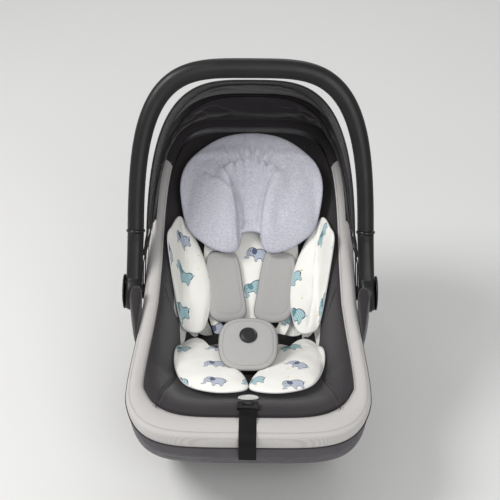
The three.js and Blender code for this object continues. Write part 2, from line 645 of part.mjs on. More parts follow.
// on the back of the shell: the steel yoke that the shoulder straps end on, and the belt guide
function onBack(g, t, off) {
  const low = shellPoint(Math.PI / 2, t - 0.02, false);
  const high = shellPoint(Math.PI / 2, t + 0.02, false);
  const lean = Math.atan2(high.z - low.z, high.y - low.y);
  g.rotateX(lean);
  const middle = low.add(high).multiplyScalar(0.5);
  g.translate(0, middle.y + Math.sin(lean) * off, middle.z - Math.cos(lean) * off);
  return g;
}
add("harness_yoke", onBack(cut(
  new THREE.BoxGeometry(74, 26, 3),
  new THREE.BoxGeometry(28, 5, 10).translate(-19, 4, 0),
  new THREE.BoxGeometry(28, 5, 10).translate(19, 4, 0),
), 0.62, 4), MATERIALS.steel);
add("belt_guide", onBack(cut(
  new THREE.BoxGeometry(96, 22, 14),
  new THREE.BoxGeometry(70, 40, 7).translate(0, 0, 3.6),
), 0.38, 9), MATERIALS.blackPlastic);

export default group;
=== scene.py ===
import json
import math

import bmesh
import bpy
from mathutils import Matrix, Vector, noise


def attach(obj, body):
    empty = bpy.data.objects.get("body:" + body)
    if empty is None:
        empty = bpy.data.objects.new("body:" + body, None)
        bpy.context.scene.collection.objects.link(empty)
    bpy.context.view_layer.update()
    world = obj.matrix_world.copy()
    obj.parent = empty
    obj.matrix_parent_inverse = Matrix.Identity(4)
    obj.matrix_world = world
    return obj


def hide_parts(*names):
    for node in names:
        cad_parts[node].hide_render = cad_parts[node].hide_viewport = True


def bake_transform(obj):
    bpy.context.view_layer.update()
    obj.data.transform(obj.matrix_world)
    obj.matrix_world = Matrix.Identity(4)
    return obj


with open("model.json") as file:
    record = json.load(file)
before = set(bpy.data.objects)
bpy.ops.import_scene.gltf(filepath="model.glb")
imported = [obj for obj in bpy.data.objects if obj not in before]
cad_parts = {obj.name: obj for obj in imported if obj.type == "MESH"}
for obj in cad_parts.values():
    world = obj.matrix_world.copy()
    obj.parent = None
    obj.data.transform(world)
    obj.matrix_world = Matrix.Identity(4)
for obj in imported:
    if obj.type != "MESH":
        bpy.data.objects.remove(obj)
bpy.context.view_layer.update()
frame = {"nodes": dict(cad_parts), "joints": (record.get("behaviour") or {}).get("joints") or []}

MM = 0.001

# ---------------------------------------------------------------- camera
# The seat is seen from its foot end, from a little above and very slightly from the right.
# The hub axis of the handle is the point that everything on the seat is measured from.
pivot = next(Vector(j["pos_m"]) for j in frame["joints"] if j["name"] == "handle_pivot")
CAMERA_TURN = math.radians(0.8)
CAMERA_RISE = math.radians(35)
CAMERA_DISTANCE = 2.2
CAMERA_LENS = 91.1
AIM_FROM_PIVOT = Vector((-0.0009, 0.042, 0.060))
aim = pivot + AIM_FROM_PIVOT
back = Vector((math.sin(CAMERA_TURN) * math.cos(CAMERA_RISE),
               -math.cos(CAMERA_TURN) * math.cos(CAMERA_RISE), math.sin(CAMERA_RISE)))
camera = bpy.data.objects.new("camera", bpy.data.cameras.new("camera"))
camera.data.lens = CAMERA_LENS
camera.data.sensor_width = 36
camera.location = aim + back * CAMERA_DISTANCE
camera.rotation_mode = "QUATERNION"
camera.rotation_quaternion = (-back).to_track_quat("-Z", "Y")
bpy.context.collection.objects.link(camera)
bpy.context.scene.camera = camera

# ---------------------------------------------------------------- carrier shell
# One polypropylene moulding: a rocker-shaped bucket with a rolled lip, satin dark grey with a
# fine sparked grain. It carries everything else and stands on four rubber feet.


def clamp(t):
    return min(1.0, max(0.0, t))


def mix(a, b, t):
    return a + (b - a) * t


def bent(value, n):
    """A cosine or sine bent so that a circle made of them turns into a rounded square."""
    return math.copysign(abs(value) ** (2 / n), value)


RIM_FOOT, RIM_HEAD, RIM_MIDDLE = -313.0, 312.0, -40.0
RIM_HALF_WIDTH, RIM_FLARE, RIM_FLARE_LENGTH, RIM_POWER = 177.5, 25.0, 220.0, 5
RIM_FOOT_HEIGHT, RIM_HEAD_HEIGHT, RIM_CLIMB = 208.0, 424.0, 1.7
BAND_WIDTH, BAND_FOOT_WIDTH, BAND_DROP, BAND_FOOT_DROP = 24.0, 46.0, 9.0, 27.0
PIVOT_HEIGHT = 250.0


def crest(y):
    """Height of the rim at a depth y, in mm; every y counts from the hub axis."""
    s = clamp((y - RIM_FOOT) / (RIM_HEAD - RIM_FOOT))
    return RIM_FOOT_HEIGHT + (RIM_HEAD_HEIGHT - RIM_FOOT_HEIGHT) * s ** RIM_CLIMB


def half_width(y):
    """Half the rim's width at a depth y; it flares towards the foot end."""
    return RIM_HALF_WIDTH + RIM_FLARE * clamp((-y - 15) / RIM_FLARE_LENGTH) ** 1.2


def half_length(at_foot):
    return RIM_MIDDLE - RIM_FOOT if at_foot else RIM_HEAD - RIM_MIDDLE


def rim_point(angle, inset=0.0):
    """Point (x, y) of the rim's outline, moved inwards by inset."""
    c, s = math.cos(angle), math.sin(angle)
    y = RIM_MIDDLE + (half_length(s < 0) - inset) * bent(s, RIM_POWER)
    return (half_width(y) - inset) * bent(c, RIM_POWER), y


def foot_share(angle):
    """0 along the sides and head, 1 at the foot end."""
    return clamp(-math.sin(angle) * 1.6 - 0.6) ** 0.8


def spot(x, y, z):
    """Millimetres from the hub axis (z from the ground) to metres in the frame."""
    return Vector((x * MM, pivot.y + y * MM, z * MM))


def finish_mesh(name, verts, faces, outward=True):
    mesh = bpy.data.meshes.new(name)
    mesh.from_pydata([tuple(v) for v in verts], [], faces)
    body = bmesh.new()
    body.from_mesh(mesh)
    bmesh.ops.remove_doubles(body, verts=body.verts, dist=1e-7)
    if outward:
        bmesh.ops.recalc_face_normals(body, faces=body.faces)
    body.to_mesh(mesh)
    body.free()
    mesh.polygons.foreach_set("use_smooth", [True] * len(mesh.polygons))
    piece = bpy.data.objects.new(name, mesh)
    bpy.context.collection.objects.link(piece)
    return piece


def skin(name, rings, loop=False, ends=True):
    """Closed surface over a row of closed rings; loop joins the last ring to the first."""
    n = len(rings[0])
    verts = [p for ring in rings for p in ring]
    faces = []
    pairs = len(rings) if loop else len(rings) - 1
    for k in range(pairs):
        a, b = k * n, ((k + 1) % len(rings)) * n
        for i in range(n):
            j = (i + 1) % n
            faces.append((a + i, a + j, b + j, b + i))
    if not loop and ends:
        for k in (0, len(rings) - 1):
            ring = rings[k]
            verts.append(sum(ring, Vector()) / n)
            centre = len(verts) - 1
            for i in range(n):
                faces.append((k * n + i, k * n + (i + 1) % n, centre))
    return finish_mesh(name, verts, faces)


def tint(r, g, b):
    """A paint-card colour in 0-255 as the linear colour that a shader takes."""
    def channel(c):
        c /= 255
        return c / 12.92 if c <= 0.04045 else ((c + 0.055) / 1.055) ** 2.4
    return (channel(r), channel(g), channel(b), 1)


class Recipe:
    """A material's node tree, with short calls for the nodes that the finishes below use."""

    def __init__(self, name):
        self.material = bpy.data.materials.new(name)
        self.material.use_nodes = True
        self.tree = self.material.node_tree
        self.shader = self.tree.nodes["Principled BSDF"]

    def node(self, kind, inputs=None, **settings):
        made = self.tree.nodes.new(kind)
        for key, value in settings.items():
            setattr(made, key, value)
        for key, value in (inputs or {}).items():
            socket = made.inputs[key]
            if isinstance(value, bpy.types.NodeSocket):
                self.tree.links.new(value, socket)
            else:
                socket.default_value = value
        return made

    def link(self, output, input_name):
        self.tree.links.new(output, self.shader.inputs[input_name])

    def coords(self, scale=(1, 1, 1), turn=(0, 0, 0), shift=(0, 0, 0)):
        place = self.node("ShaderNodeTexCoord").outputs["Object"]
        return self.node("ShaderNodeMapping", {"Vector": place, "Scale": scale, "Rotation": turn,
                                               "Location": shift}).outputs[0]

    def noise(self, vector, scale, detail=3.0, roughness=0.5):
        return self.node("ShaderNodeTexNoise", {"Vector": vector, "Scale": scale, "Detail": detail,
                                                "Roughness": roughness}).outputs["Fac"]

    def waves(self, vector, scale, axis="X", distortion=0.0):
        return self.node("ShaderNodeTexWave", {"Vector": vector, "Scale": scale,
                                               "Distortion": distortion, "Detail": 1.0},
                         bands_direction=axis).outputs["Fac"]

    def maths(self, operation, a, b=0.0):
        return self.node("ShaderNodeMath", {0: a, 1: b}, operation=operation).outputs[0]

    def spread(self, value, low, high, out_low=0.0, out_high=1.0):
        return self.node("ShaderNodeMapRange", {"Value": value, "From Min": low, "From Max": high,
                                                "To Min": out_low, "To Max": out_high}).outputs[0]

    def blend(self, factor, a, b):
        made = self.tree.nodes.new("ShaderNodeMix")
        made.data_type = "RGBA"
        for index, value in ((0, factor), (6, a), (7, b)):
            if isinstance(value, bpy.types.NodeSocket):
                self.tree.links.new(value, made.inputs[index])
            else:
                made.inputs[index].default_value = value
        return made.outputs[2]

    def bump(self, height, strength, distance):
        self.link(self.node("ShaderNodeBump", {"Height": height, "Strength": strength,
                                               "Distance": distance}).outputs[0], "Normal")


def moulded(name, colour, roughness, grain=0.35, grain_scale=1500, scuff=0.1):
    """Moulded plastic: sparked grain, faint cloudy sheen and scuffs."""
    r = Recipe(name)
    place = r.coords()
    cloud = r.noise(place, 14, 4)
    fine = r.noise(place, grain_scale, 2)
    light = tuple(min(1, c * 1.35 + 0.004) for c in colour[:3]) + (1,)
    r.link(r.blend(r.spread(cloud, 0.35, 0.75), colour, light), "Base Color")
    r.link(r.spread(r.noise(place, 60, 5), 0.3, 0.7, roughness - scuff, roughness + scuff), "Roughness")
    r.bump(fine, grain, 0.0002)
    return r.material


def wear(piece, material):
    piece.data.materials.clear()
    piece.data.materials.append(material)


shell_plastic = moulded("shell_plastic", tint(70, 67, 72), 0.5, 0.45, 900)
SHELL_STEPS, SHELL_WALL, SHELL_SKIRT, TURN_SHARE = 168, 4.0, 20.0, 0.85
BASE_HALF, BASE_FOOT, BASE_HEAD, BASE_Z = 118.0, -122.0, 150.0, 3.4
LIP_INSET, LIP_DROP = 9.0, 8.0
FULLNESS, FOOT_FULLNESS = 2.0, 1.25
STYLE_LINES, STYLE_WIDTH, STYLE_DEPTH = (0.52, 0.74), 0.012, 1.2


def shell_point(angle, t, inner):
    """Point of the bucket's wall, t from the base to the lip."""
    shrink = SHELL_WALL + 2 if inner else 0
    middle, reach = (BASE_FOOT + BASE_HEAD) / 2, (BASE_HEAD - BASE_FOOT) / 2
    bx = (BASE_HALF - shrink) * bent(math.cos(angle), 3)
    by = middle + (reach - shrink) * bent(math.sin(angle), 3)
    px, py = rim_point(angle, LIP_INSET if inner else 0)
    edge_y = rim_point(angle)[1]
    foot = foot_share(angle)
    top = crest(edge_y) - (LIP_DROP if inner else mix(BAND_DROP, BAND_FOOT_DROP, foot) + 1)
    low = BASE_Z + (SHELL_WALL if inner else 0)
    full = mix(FULLNESS, FOOT_FULLNESS, foot)
    skirt = SHELL_SKIRT * foot
    turn = clamp(t / TURN_SHARE) * math.pi / 2
    out, up = math.sin(turn) ** (2 / full), 1 - max(0.0, math.cos(turn)) ** (2 / full)
    rise = skirt * (t - TURN_SHARE) / (1 - TURN_SHARE) if t > TURN_SHARE else 0
    return mix(bx, px, out), mix(by, py, out), mix(low, top - skirt, up) + rise


def shell_ring(level, inner):
    ring = []
    for i in range(SHELL_STEPS):
        angle = 2 * math.pi * i / SHELL_STEPS
        x, y, z = shell_point(angle, level, inner)
        # two shallow style lines run round the flank
        pressed = 0 if inner else sum(math.exp(-((level - at) / STYLE_WIDTH) ** 2) for at in STYLE_LINES)
        centre = Vector((0, 10, 0))
        away = (Vector((x, y, 0)) - centre).normalized() * -STYLE_DEPTH * pressed
        ring.append(spot(x + away.x, y + away.y, z))
    return ring


LEVELS = 60
levels = [k / LEVELS for k in range(LEVELS + 1)]
shell_rings = [[p.lerp(spot(0, 14, BASE_Z), 1 - share) for p in shell_ring(0, False)]
               for share in (0.02, 0.5, 0.97)]
shell_rings += [shell_ring(t, False) for t in levels]
lip = []
for i in range(SHELL_STEPS):
    angle = 2 * math.pi * i / SHELL_STEPS
    lip.append((angle, crest(rim_point(angle)[1]), shell_point(angle, 1, False)[2]))
LIP_PROFILE = [(3, None), (5, None), (5, -9.5), (6, -8.2), (8, -8.2)]  # inset, height over the crest
for inset, rise in LIP_PROFILE:
    shell_rings.append([spot(*rim_point(a, inset), low if rise is None else top + rise)
                        for a, top, low in lip])
shell_rings += [shell_ring(t, True) for t in reversed(levels[::3])]
shell = skin("carrier_bucket", shell_rings)
wear(shell, shell_plastic)
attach(shell, "carrier")
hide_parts("carrier_shell")


def facet_round(node, material, width=0.0006):
    """A kept CAD node: its loose triangles are welded and its edges broken by a small radius."""
    part = frame["nodes"][node]
    weld = part.modifiers.new("weld", "WELD")
    weld.merge_threshold = 1e-6
    edge = part.modifiers.new("edge", "BEVEL")
    edge.width = width
    edge.segments = 2
    edge.limit_method = "ANGLE"
    edge.angle_limit = math.radians(38)
    edge.harden_normals = True
    part.data.polygons.foreach_set("use_smooth", [True] * len(part.data.polygons))
    wear(part, material)


foot_rubber = moulded("foot_rubber", tint(34, 34, 35), 0.85, 0.6, 500)
for corner in ("front_left", "front_right", "rear_left", "rear_right"):
    facet_round(f"foot_pad_{corner}", foot_rubber)

# The hub seats are turned bosses on the flanks that the handle and the canopy bows swing on.
BOSS_PROFILE = [(150, 15), (168, 15), (176, 14), (179.4, 13), (180, 12.4)]  # x, radius
BOSS_SIDES = 48
for side in (-1, 1):
    rings = []
    for x, r in BOSS_PROFILE:
        rings.append([spot(side * x, r * math.cos(a), PIVOT_HEIGHT + r * math.sin(a))
                      for a in (2 * math.pi * i / BOSS_SIDES for i in range(BOSS_SIDES))])
    boss = skin(f"hub_seat_{'left' if side < 0 else 'right'}", rings)
    wear(boss, shell_plastic)
    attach(boss, "carrier")

# ---------------------------------------------------------------- foam liner
# Expanded bead foam pressed into the bucket; it is hidden by the cover.
bead_foam = Recipe("bead_foam")
cells = bead_foam.node("ShaderNodeTexVoronoi", {"Vector": bead_foam.coords(), "Scale": 260.0})
bead_foam.link(bead_foam.blend(bead_foam.spread(cells.outputs["Distance"], 0.2, 0.7),
                               tint(228, 228, 224), tint(205, 205, 200)), "Base Color")
bead_foam.shader.inputs["Roughness"].default_value = 0.9
bead_foam.bump(cells.outputs["Distance"], 0.5, 0.0006)
wear(frame["nodes"]["foam_liner"], bead_foam.material)

# ---------------------------------------------------------------- seat cover
# Close-woven dark polyester over thin wadding, cut as a seat, a back and two side bolsters that
# meet in piped seams. It lines the whole bucket and tucks under the pale band.
# the middle line of the seat from the knee roll to the head end, as (y, height)
SEAT_LINE = [(-400, 205), (-300, 205), (-270, 207), (-240, 202), (-180, 186), (-100, 163), (-50, 149),
             (-20, 146), (10, 163), (50, 199), (100, 242), (150, 285), (200, 327), (250, 370), (285, 400),
             (322, 425), (500, 560)]
COVER_FLOOR, COVER_EDGE_DROP = 0.76, 4.0  # where its sides begin to rise, and how high they end


def along(table, y):
    """Smooth curve through a table of points."""
    last = len(table) - 1
    i = 0
    while i < last - 1 and y > table[i + 1][0]:
        i += 1

    def slope(k):
        a, b = table[max(k - 1, 0)], table[min(k + 1, last)]
        return (b[1] - a[1]) / (b[0] - a[0])
    (y0, z0), (y1, z1) = table[i], table[i + 1]
    h = y1 - y0
    t = (y - y0) / h
    return ((2 * t ** 3 - 3 * t * t + 1) * z0 + (t ** 3 - 2 * t * t + t) * slope(i) * h
            + (3 * t * t - 2 * t ** 3) * z1 + (t ** 3 - t * t) * slope(i + 1) * h)


def band_width(angle):
    return mix(BAND_WIDTH, BAND_FOOT_WIDTH, foot_share(angle))


def reach_of(x, y):
    """0 in the middle of the seat, 1 at the band's inner edge."""
    angle = math.atan2((y - RIM_MIDDLE) * 0.55, x)
    inset = band_width(angle)
    b = half_length(y < RIM_MIDDLE) - inset
    a = half_width(y) - inset
    return (abs(x / a) ** RIM_POWER + abs((y - RIM_MIDDLE) / b) ** RIM_POWER) ** (1 / RIM_POWER)


def seat_height(x, y):
    low = along(SEAT_LINE, y)
    t = clamp((reach_of(x, y) - COVER_FLOOR) / (1 - COVER_FLOOR))
    return low + max(0.0, crest(y) - COVER_EDGE_DROP - low) * t * t * (3 - 2 * t)


def groove(distance, width, depth):
    return -depth * math.exp(-(distance / width) ** 2)


def line_distance(x, y, a, b):
    """Distance from (x, y) to the segment a-b."""
    ax, ay = a
    dx, dy = b[0] - ax, b[1] - ay
    t = clamp(((x - ax) * dx + (y - ay) * dy) / (dx * dx + dy * dy))
    return math.hypot(x - ax - dx * t, y - ay - dy * t)


COVER_SEAMS = [((124, -138), (150, -262)), ((124, -138), (118, -20)), ((118, -20), (152, -4)),
               ((118, -20), (118, 150)), ((118, 150), (92, 262))]


def cover_relief(x, y):
    """Seams pulled in between the cover's panels, and soft puckers either side of them."""
    depth = 0.0
    for a, b in COVER_SEAMS:
        d = line_distance(abs(x), y, a, b)
        depth += groove(d, 3.2, 3.0) - groove(d - 5, 5, 0.8)
    depth += 0.9 * noise.noise(Vector((x * 0.021, y * 0.017, 3.1)))
    return depth


def woven(name, colour, thread=0.9, relief=0.5, sheen=0.25, shade=0.75, roughness=0.9, mottle=0.25):
    """Plain woven cloth: two sets of threads, light mottling and a little nap."""
    r = Recipe(name)
    place = r.coords()
    grid = r.coords(turn=(0.2, 0.1, 0.785))
    scale = 1000 / (thread * 6.283) * 3.1416
    warp = r.waves(grid, scale, "X", 0.6)
    weft = r.waves(grid, scale, "Y", 0.6)
    threads = r.maths("MULTIPLY", warp, weft)
    cloud = r.noise(place, 22, 4)
    fleck = r.noise(place, 900, 2)
    dark = tuple(c * shade for c in colour[:3]) + (1,)
    tone = r.maths("ADD", r.maths("MULTIPLY", threads, 0.5), r.maths("MULTIPLY", fleck, 0.5))
    fine = r.blend(r.spread(tone, 0.2, 0.75), dark, colour)
    soft = r.blend(r.maths("MULTIPLY", r.spread(cloud, 0.4, 0.8), mottle), fine, dark)
    r.link(soft, "Base Color")
    r.shader.inputs["Roughness"].default_value = roughness
    r.shader.inputs["Sheen Weight"].default_value = sheen
    r.shader.inputs["Sheen Roughness"].default_value = 0.4
    r.bump(tone, relief, 0.0004)
    return r.material


dark_cloth = woven("dark_cover_cloth", tint(45, 41, 44), 1.1, 0.6, 0.3)


def cup(name, top, thickness, inset, steps=200, shares=64):
    """The lining of the bucket, from its seating surface down by a thickness."""
    reach = [1 - (1 - k / shares) ** 1.15 for k in range(1, shares + 1)]
    rings = []
    for under in (False, True):
        for r in (reach if not under else reversed(reach)):
            ring = []
            for i in range(steps):
                angle = 2 * math.pi * i / steps
                ex, ey = rim_point(angle, band_width(angle) + inset)
                x, y = ex * r, RIM_MIDDLE + (ey - RIM_MIDDLE) * r
                drop = thickness if under else -cover_relief(x, y) * clamp((1 - r) * 30)
                ring.append(spot(x, y, seat_height(x, y) + top - drop))
            rings.append(ring)
    return skin(name, rings)


cover = cup("padded_cover", 0, 7.5, 0.4)
wear(cover, dark_cloth)
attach(cover, "carrier")
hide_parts("seat_cover")


def catmull(points, closed, count):
    """Points spread along a smooth curve through the given ones."""
    n = len(points)
    spans = n if closed else n - 1
    made = []
    for k in range(count):
        u = k / (count if closed else count - 1) * spans
        i = min(int(u), spans - 1)
        t = u - i
        p = [points[(i + d) % n] if closed else points[min(max(i + d, 0), n - 1)]
             for d in (-1, 0, 1, 2)]
        made.append(tuple(0.5 * (2 * b + (c - a) * t + (2 * a - 5 * b + 4 * c - d) * t * t
                                 + (3 * b - a - 3 * c + d) * t ** 3) for a, b, c, d in zip(*p)))
    return made


def cord_tube(name, points, radius, sides=10, closed=False):
    """A piping cord along points in metres."""
    count = len(points)
    up = Vector((0, 0, 1))
    rings = []
    for i, p in enumerate(points):
        a = points[(i - 1) % count] if closed or i else points[0]
        b = points[(i + 1) % count] if closed or i < count - 1 else points[-1]
        run = (b - a).normalized()
        across = run.cross(up)
        across = across.normalized() if across.length > 1e-6 else Vector((1, 0, 0))
        over = across.cross(run)
        rings.append([p + across * radius * math.cos(t) + over * radius * math.sin(t)
                      for t in (2 * math.pi * k / sides for k in range(sides))])
    return skin(name, rings, loop=closed)


def join_pieces(name, pieces):
    """One plain mesh out of several."""
    for o in bpy.context.selected_objects:
        o.select_set(False)
    for p in pieces:
        p.select_set(True)
    bpy.context.view_layer.objects.active = pieces[0]
    bpy.ops.object.join()
    pieces[0].name = name
    pieces[0].data.name = name
    return pieces[0]


def stitch_tree():
    """Geometry Nodes: thread stitches along edges, with pitch, length and radius as inputs."""
    tree = bpy.data.node_groups.new("stitch_row", "GeometryNodeTree")
    face = tree.interface
    face.new_socket("Geometry", in_out="INPUT", socket_type="NodeSocketGeometry")
    for name, value in (("Pitch", 0.004), ("Length", 0.0028), ("Radius", 0.0003)):
        face.new_socket(name, in_out="INPUT", socket_type="NodeSocketFloat").default_value = value
    face.new_socket("Seed", in_out="INPUT", socket_type="NodeSocketInt").default_value = 7
    face.new_socket("Thread", in_out="INPUT", socket_type="NodeSocketMaterial")
    face.new_socket("Geometry", in_out="OUTPUT", socket_type="NodeSocketGeometry")
    add, link = tree.nodes.new, tree.links.new
    given = add("NodeGroupInput")
    result = add("NodeGroupOutput")
    path = add("GeometryNodeMeshToCurve")
    points = add("GeometryNodeCurveToPoints")
    points.mode = "LENGTH"
    thread = add("GeometryNodeMeshCylinder")
    thread.inputs["Vertices"].default_value = 6
    place = add("GeometryNodeInstanceOnPoints")
    vary = add("FunctionNodeRandomValue")
    vary.data_type = "FLOAT"
    vary.inputs[2].default_value, vary.inputs[3].default_value = 0.9, 1.1
    real = add("GeometryNodeRealizeInstances")
    finish = add("GeometryNodeSetMaterial")
    link(given.outputs["Geometry"], path.inputs["Mesh"])
    link(path.outputs["Curve"], points.inputs["Curve"])
    link(given.outputs["Pitch"], points.inputs["Length"])
    link(given.outputs["Radius"], thread.inputs["Radius"])
    link(given.outputs["Length"], thread.inputs["Depth"])
    link(given.outputs["Seed"], vary.inputs["Seed"])
    link(points.outputs["Points"], place.inputs["Points"])
    link(points.outputs["Rotation"], place.inputs["Rotation"])
    link(vary.outputs[1], place.inputs["Scale"])
    link(thread.outputs["Mesh"], place.inputs["Instance"])
    link(place.outputs["Instances"], real.inputs["Geometry"])
    link(real.outputs["Geometry"], finish.inputs["Geometry"])
    link(given.outputs["Thread"], finish.inputs["Material"])
    link(finish.outputs["Geometry"], result.inputs["Geometry"])
    return tree


STITCHES = stitch_tree()


def sew(name, lines, thread, body, pitch=0.0042, length=0.0030, radius=0.00030):
    """Rows of stitches along lines of points in metres, as one plain mesh that rides on a body."""
    verts, edges = [], []
    for line in lines:
        base = len(verts)
        verts += [tuple(p) for p in line]
        edges += [(base + i, base + i + 1) for i in range(len(line) - 1)]
    mesh = bpy.data.meshes.new(name + "_path")
    mesh.from_pydata(verts, edges, [])
    guide = bpy.data.objects.new(name + "_path", mesh)
    bpy.context.collection.objects.link(guide)
    rows = guide.modifiers.new("stitches", "NODES")
    rows.node_group = STITCHES
    sockets = {i.name: i.identifier for i in STITCHES.interface.items_tree if i.in_out == "INPUT"}
    given = {"Pitch": pitch, "Length": length, "Radius": radius, "Seed": 7, "Thread": thread}
    for key, value in given.items():
        rows[sockets[key]] = value
    ready = guide.evaluated_get(bpy.context.evaluated_depsgraph_get())
    piece = bpy.data.objects.new(name, bpy.data.meshes.new_from_object(ready))
    bpy.context.collection.objects.link(piece)
    bpy.data.objects.remove(guide, do_unlink=True)
    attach(piece, body)


dark_thread = woven("dark_thread", tint(96, 90, 97), 0.5, 0.3, 0.1)
STITCH_SHIFT, THREAD_LIFT, LINE_POINTS = 4.0, 0.15, 30
rows = []
for a, b in COVER_SEAMS:
    for side in (-1, 1):
        for shift in (-STITCH_SHIFT, STITCH_SHIFT):
            run = Vector((b[0] - a[0], b[1] - a[1])).normalized()
            line = []
            for k in range(LINE_POINTS):
                x = side * (mix(a[0], b[0], k / (LINE_POINTS - 1)) - run.y * shift)
                y = mix(a[1], b[1], k / (LINE_POINTS - 1)) + run.x * shift
                line.append(spot(x, y, seat_height(x, y) + cover_relief(x, y) + THREAD_LIFT))
            rows.append(line)
sew("cover_stitches", rows, dark_thread, "carrier")

# Piping sewn into the cover's lower seams, sunk in their grooves.
SEAM_CORD_RADIUS, SEAM_CORD_DEPTH, CORD_POINTS = 0.0010, 1.6, 40
seam_cords = []
for a, b in COVER_SEAMS[:3]:
    for side in (-1, 1):
        run = []
        for k in range(CORD_POINTS):
            share = k / (CORD_POINTS - 1)
            x, y = mix(a[0], b[0], share) * side, mix(a[1], b[1], share)
            run.append(spot(x, y, seat_height(x, y) - SEAM_CORD_DEPTH))
        seam_cords.append(cord_tube("seam", run, SEAM_CORD_RADIUS))
piping_cloth = woven("piping_cloth", tint(44, 40, 45), 0.8, 0.4, 0.2)
cover_piping = join_pieces("cover_piping", seam_cords)
wear(cover_piping, piping_cloth)
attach(cover_piping, "carrier")

# ---------------------------------------------------------------- pale band
# A padded strip of pale ribbed cloth sewn to the cover, folded over the rim and drawn down over
# the lip. It is joined beside the hubs, and edged inside and outside with dark piping.
BAND_STEPS = 264
# across the band: share of its width, offset, and height over the crest (None: at the lower edge)
BAND_PROFILE = [(1, 0, -6.4), (0.9, 0, -3.4), (0.76, 0, -1.0), (0.62, 0, 0.6), (0.46, 0, 1.3),
                (0.3, 0, 1.0), (0.16, 0, -0.6), (0, 1.2, -3.0), (0, -1.0, -5.2), (0, -2.2, -8.0), (0, -2.6, None),
                (0, -1.6, None), (0, 1.0, None), (0, 1.0, -8.8), (0, 4.4, -6.6), (0.36, 0, -2.8),
                (0.62, 0, -3.8), (1, 0, -9)]
OUTER_EDGE = 10  # the profile's point where the band turns under
JOIN_Y = -4.0


def band_ring(angle):
    ring = []
    width, foot = band_width(angle), foot_share(angle)
    drop = mix(BAND_DROP, BAND_FOOT_DROP, foot)
    edge_y = rim_point(angle)[1]
    top = crest(edge_y)
    for k, (share, offset, height) in enumerate(BAND_PROFILE):
        x, y = rim_point(angle, share * width + offset)
        if height is None:
            z = top - drop + (0.8 if k == OUTER_EDGE else 0)
        else:
            z = top + height
        if 0 < k < OUTER_EDGE:
            z += groove(edge_y - JOIN_Y, 2.2, 1.6)
            z += 0.5 * noise.noise(Vector((x * 0.03, y * 0.03, 8)))
        ring.append(spot(x, y, z))
    return ring


# Over the head end, under the canopy, the strip is drawn in the dark cover cloth: painted shade where the canopy
# shadows the band.
PAINTED_SHADE_FROM = 232.0
band_angles = [2 * math.pi * i / BAND_STEPS for i in range(BAND_STEPS)]
at_head = [a for a in band_angles if rim_point(a)[1] >= PAINTED_SHADE_FROM]
first, last = band_angles.index(at_head[0]), band_angles.index(at_head[-1])
rest = band_angles[last:] + [a + 2 * math.pi for a in band_angles[:first + 1]]
band = skin("pale_band", [band_ring(a) for a in rest])
head_band = skin("painted_shade_head_band", [band_ring(a) for a in at_head])
for piece in (band, head_band):
    soften = piece.modifiers.new("soften", "SUBSURF")
    soften.levels = soften.render_levels = 1
# painted shade: the band's head end wears the dark cover cloth in place of the canopy's shadow
wear(head_band, dark_cloth)
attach(head_band, "carrier")
band_cloth = Recipe("band_cloth")
rib_place = band_cloth.coords()
ribs_x = band_cloth.waves(rib_place, 300, "X", 0.8)
ribs_y = band_cloth.waves(rib_place, 300, "Y", 0.8)
rib = band_cloth.maths("MULTIPLY", ribs_x, ribs_y)
fleck = band_cloth.noise(rib_place, 800, 2)
tone = band_cloth.maths("ADD", band_cloth.maths("MULTIPLY", rib, 0.5),
                        band_cloth.maths("MULTIPLY", fleck, 0.5))
pale = band_cloth.blend(band_cloth.spread(tone, 0.15, 0.75), tint(174, 171, 169), tint(203, 201, 198))
handled = band_cloth.spread(band_cloth.noise(rib_place, 16, 4), 0.4, 0.9, 0, 0.35)
band_cloth.link(band_cloth.blend(handled, pale, tint(184, 181, 178)), "Base Color")
band_cloth.shader.inputs["Roughness"].default_value = 0.92
band_cloth.shader.inputs["Sheen Weight"].default_value = 0.2
band_cloth.bump(tone, 0.5, 0.0005)
wear(band, band_cloth.material)
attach(band, "carrier")
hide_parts("cover_band")

# Dark piping along the inner and the outer edge, and two rows of pale stitches.
EDGE_CORDS = [(1, 0.4, -6.2, 0.0013), (0, -2.4, None, 0.0012)]
edges = []
for share, offset, height, radius in EDGE_CORDS:
    run = []
    for i in range(BAND_STEPS):
        angle = 2 * math.pi * i / BAND_STEPS
        x, y = rim_point(angle, share * band_width(angle) + offset)
        top = crest(rim_point(angle)[1])
        drop = mix(BAND_DROP, BAND_FOOT_DROP, foot_share(angle))
        run.append(spot(x, y, top + height if height is not None else top - drop - 0.4))
    edges.append(cord_tube("edge", run, radius, closed=True))
rows = []
for share, height in ((0.86, -2.4), (0.10, -1.2)):
    line = []
    for a in rest[::2]:
        x, y = rim_point(a, share * band_width(a))
        line.append(spot(x, y, crest(rim_point(a)[1]) + height + 0.9))
    rows.append(line)
pale_thread = woven("pale_thread", tint(168, 163, 160), 0.5, 0.3, 0.1)
sew("band_stitches", rows, pale_thread, "carrier")
band_piping = join_pieces("band_piping", edges)
wear(band_piping, piping_cloth)
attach(band_piping, "carrier")

# ---------------------------------------------------------------- side flaps
# Padded ends of the cover, stretched over the shell's shoulder in front of each hub.
FLAP_OUTLINE = [(-30, 281), (-37, 262), (-40, 244), (-38, 226), (-54, 206), (-80, 200),
                (-104, 214), (-106, 236), (-84, 256), (-54, 276), (-38, 286)]
FLAP_MIDDLE = (-66, 240)
FLAP_CLEAR = 3.2


def flap_reach(y):
    """How far out the flap's face stands; it thins towards its foot end."""
    return mix(192, 205, clamp((y + 106) / 60))


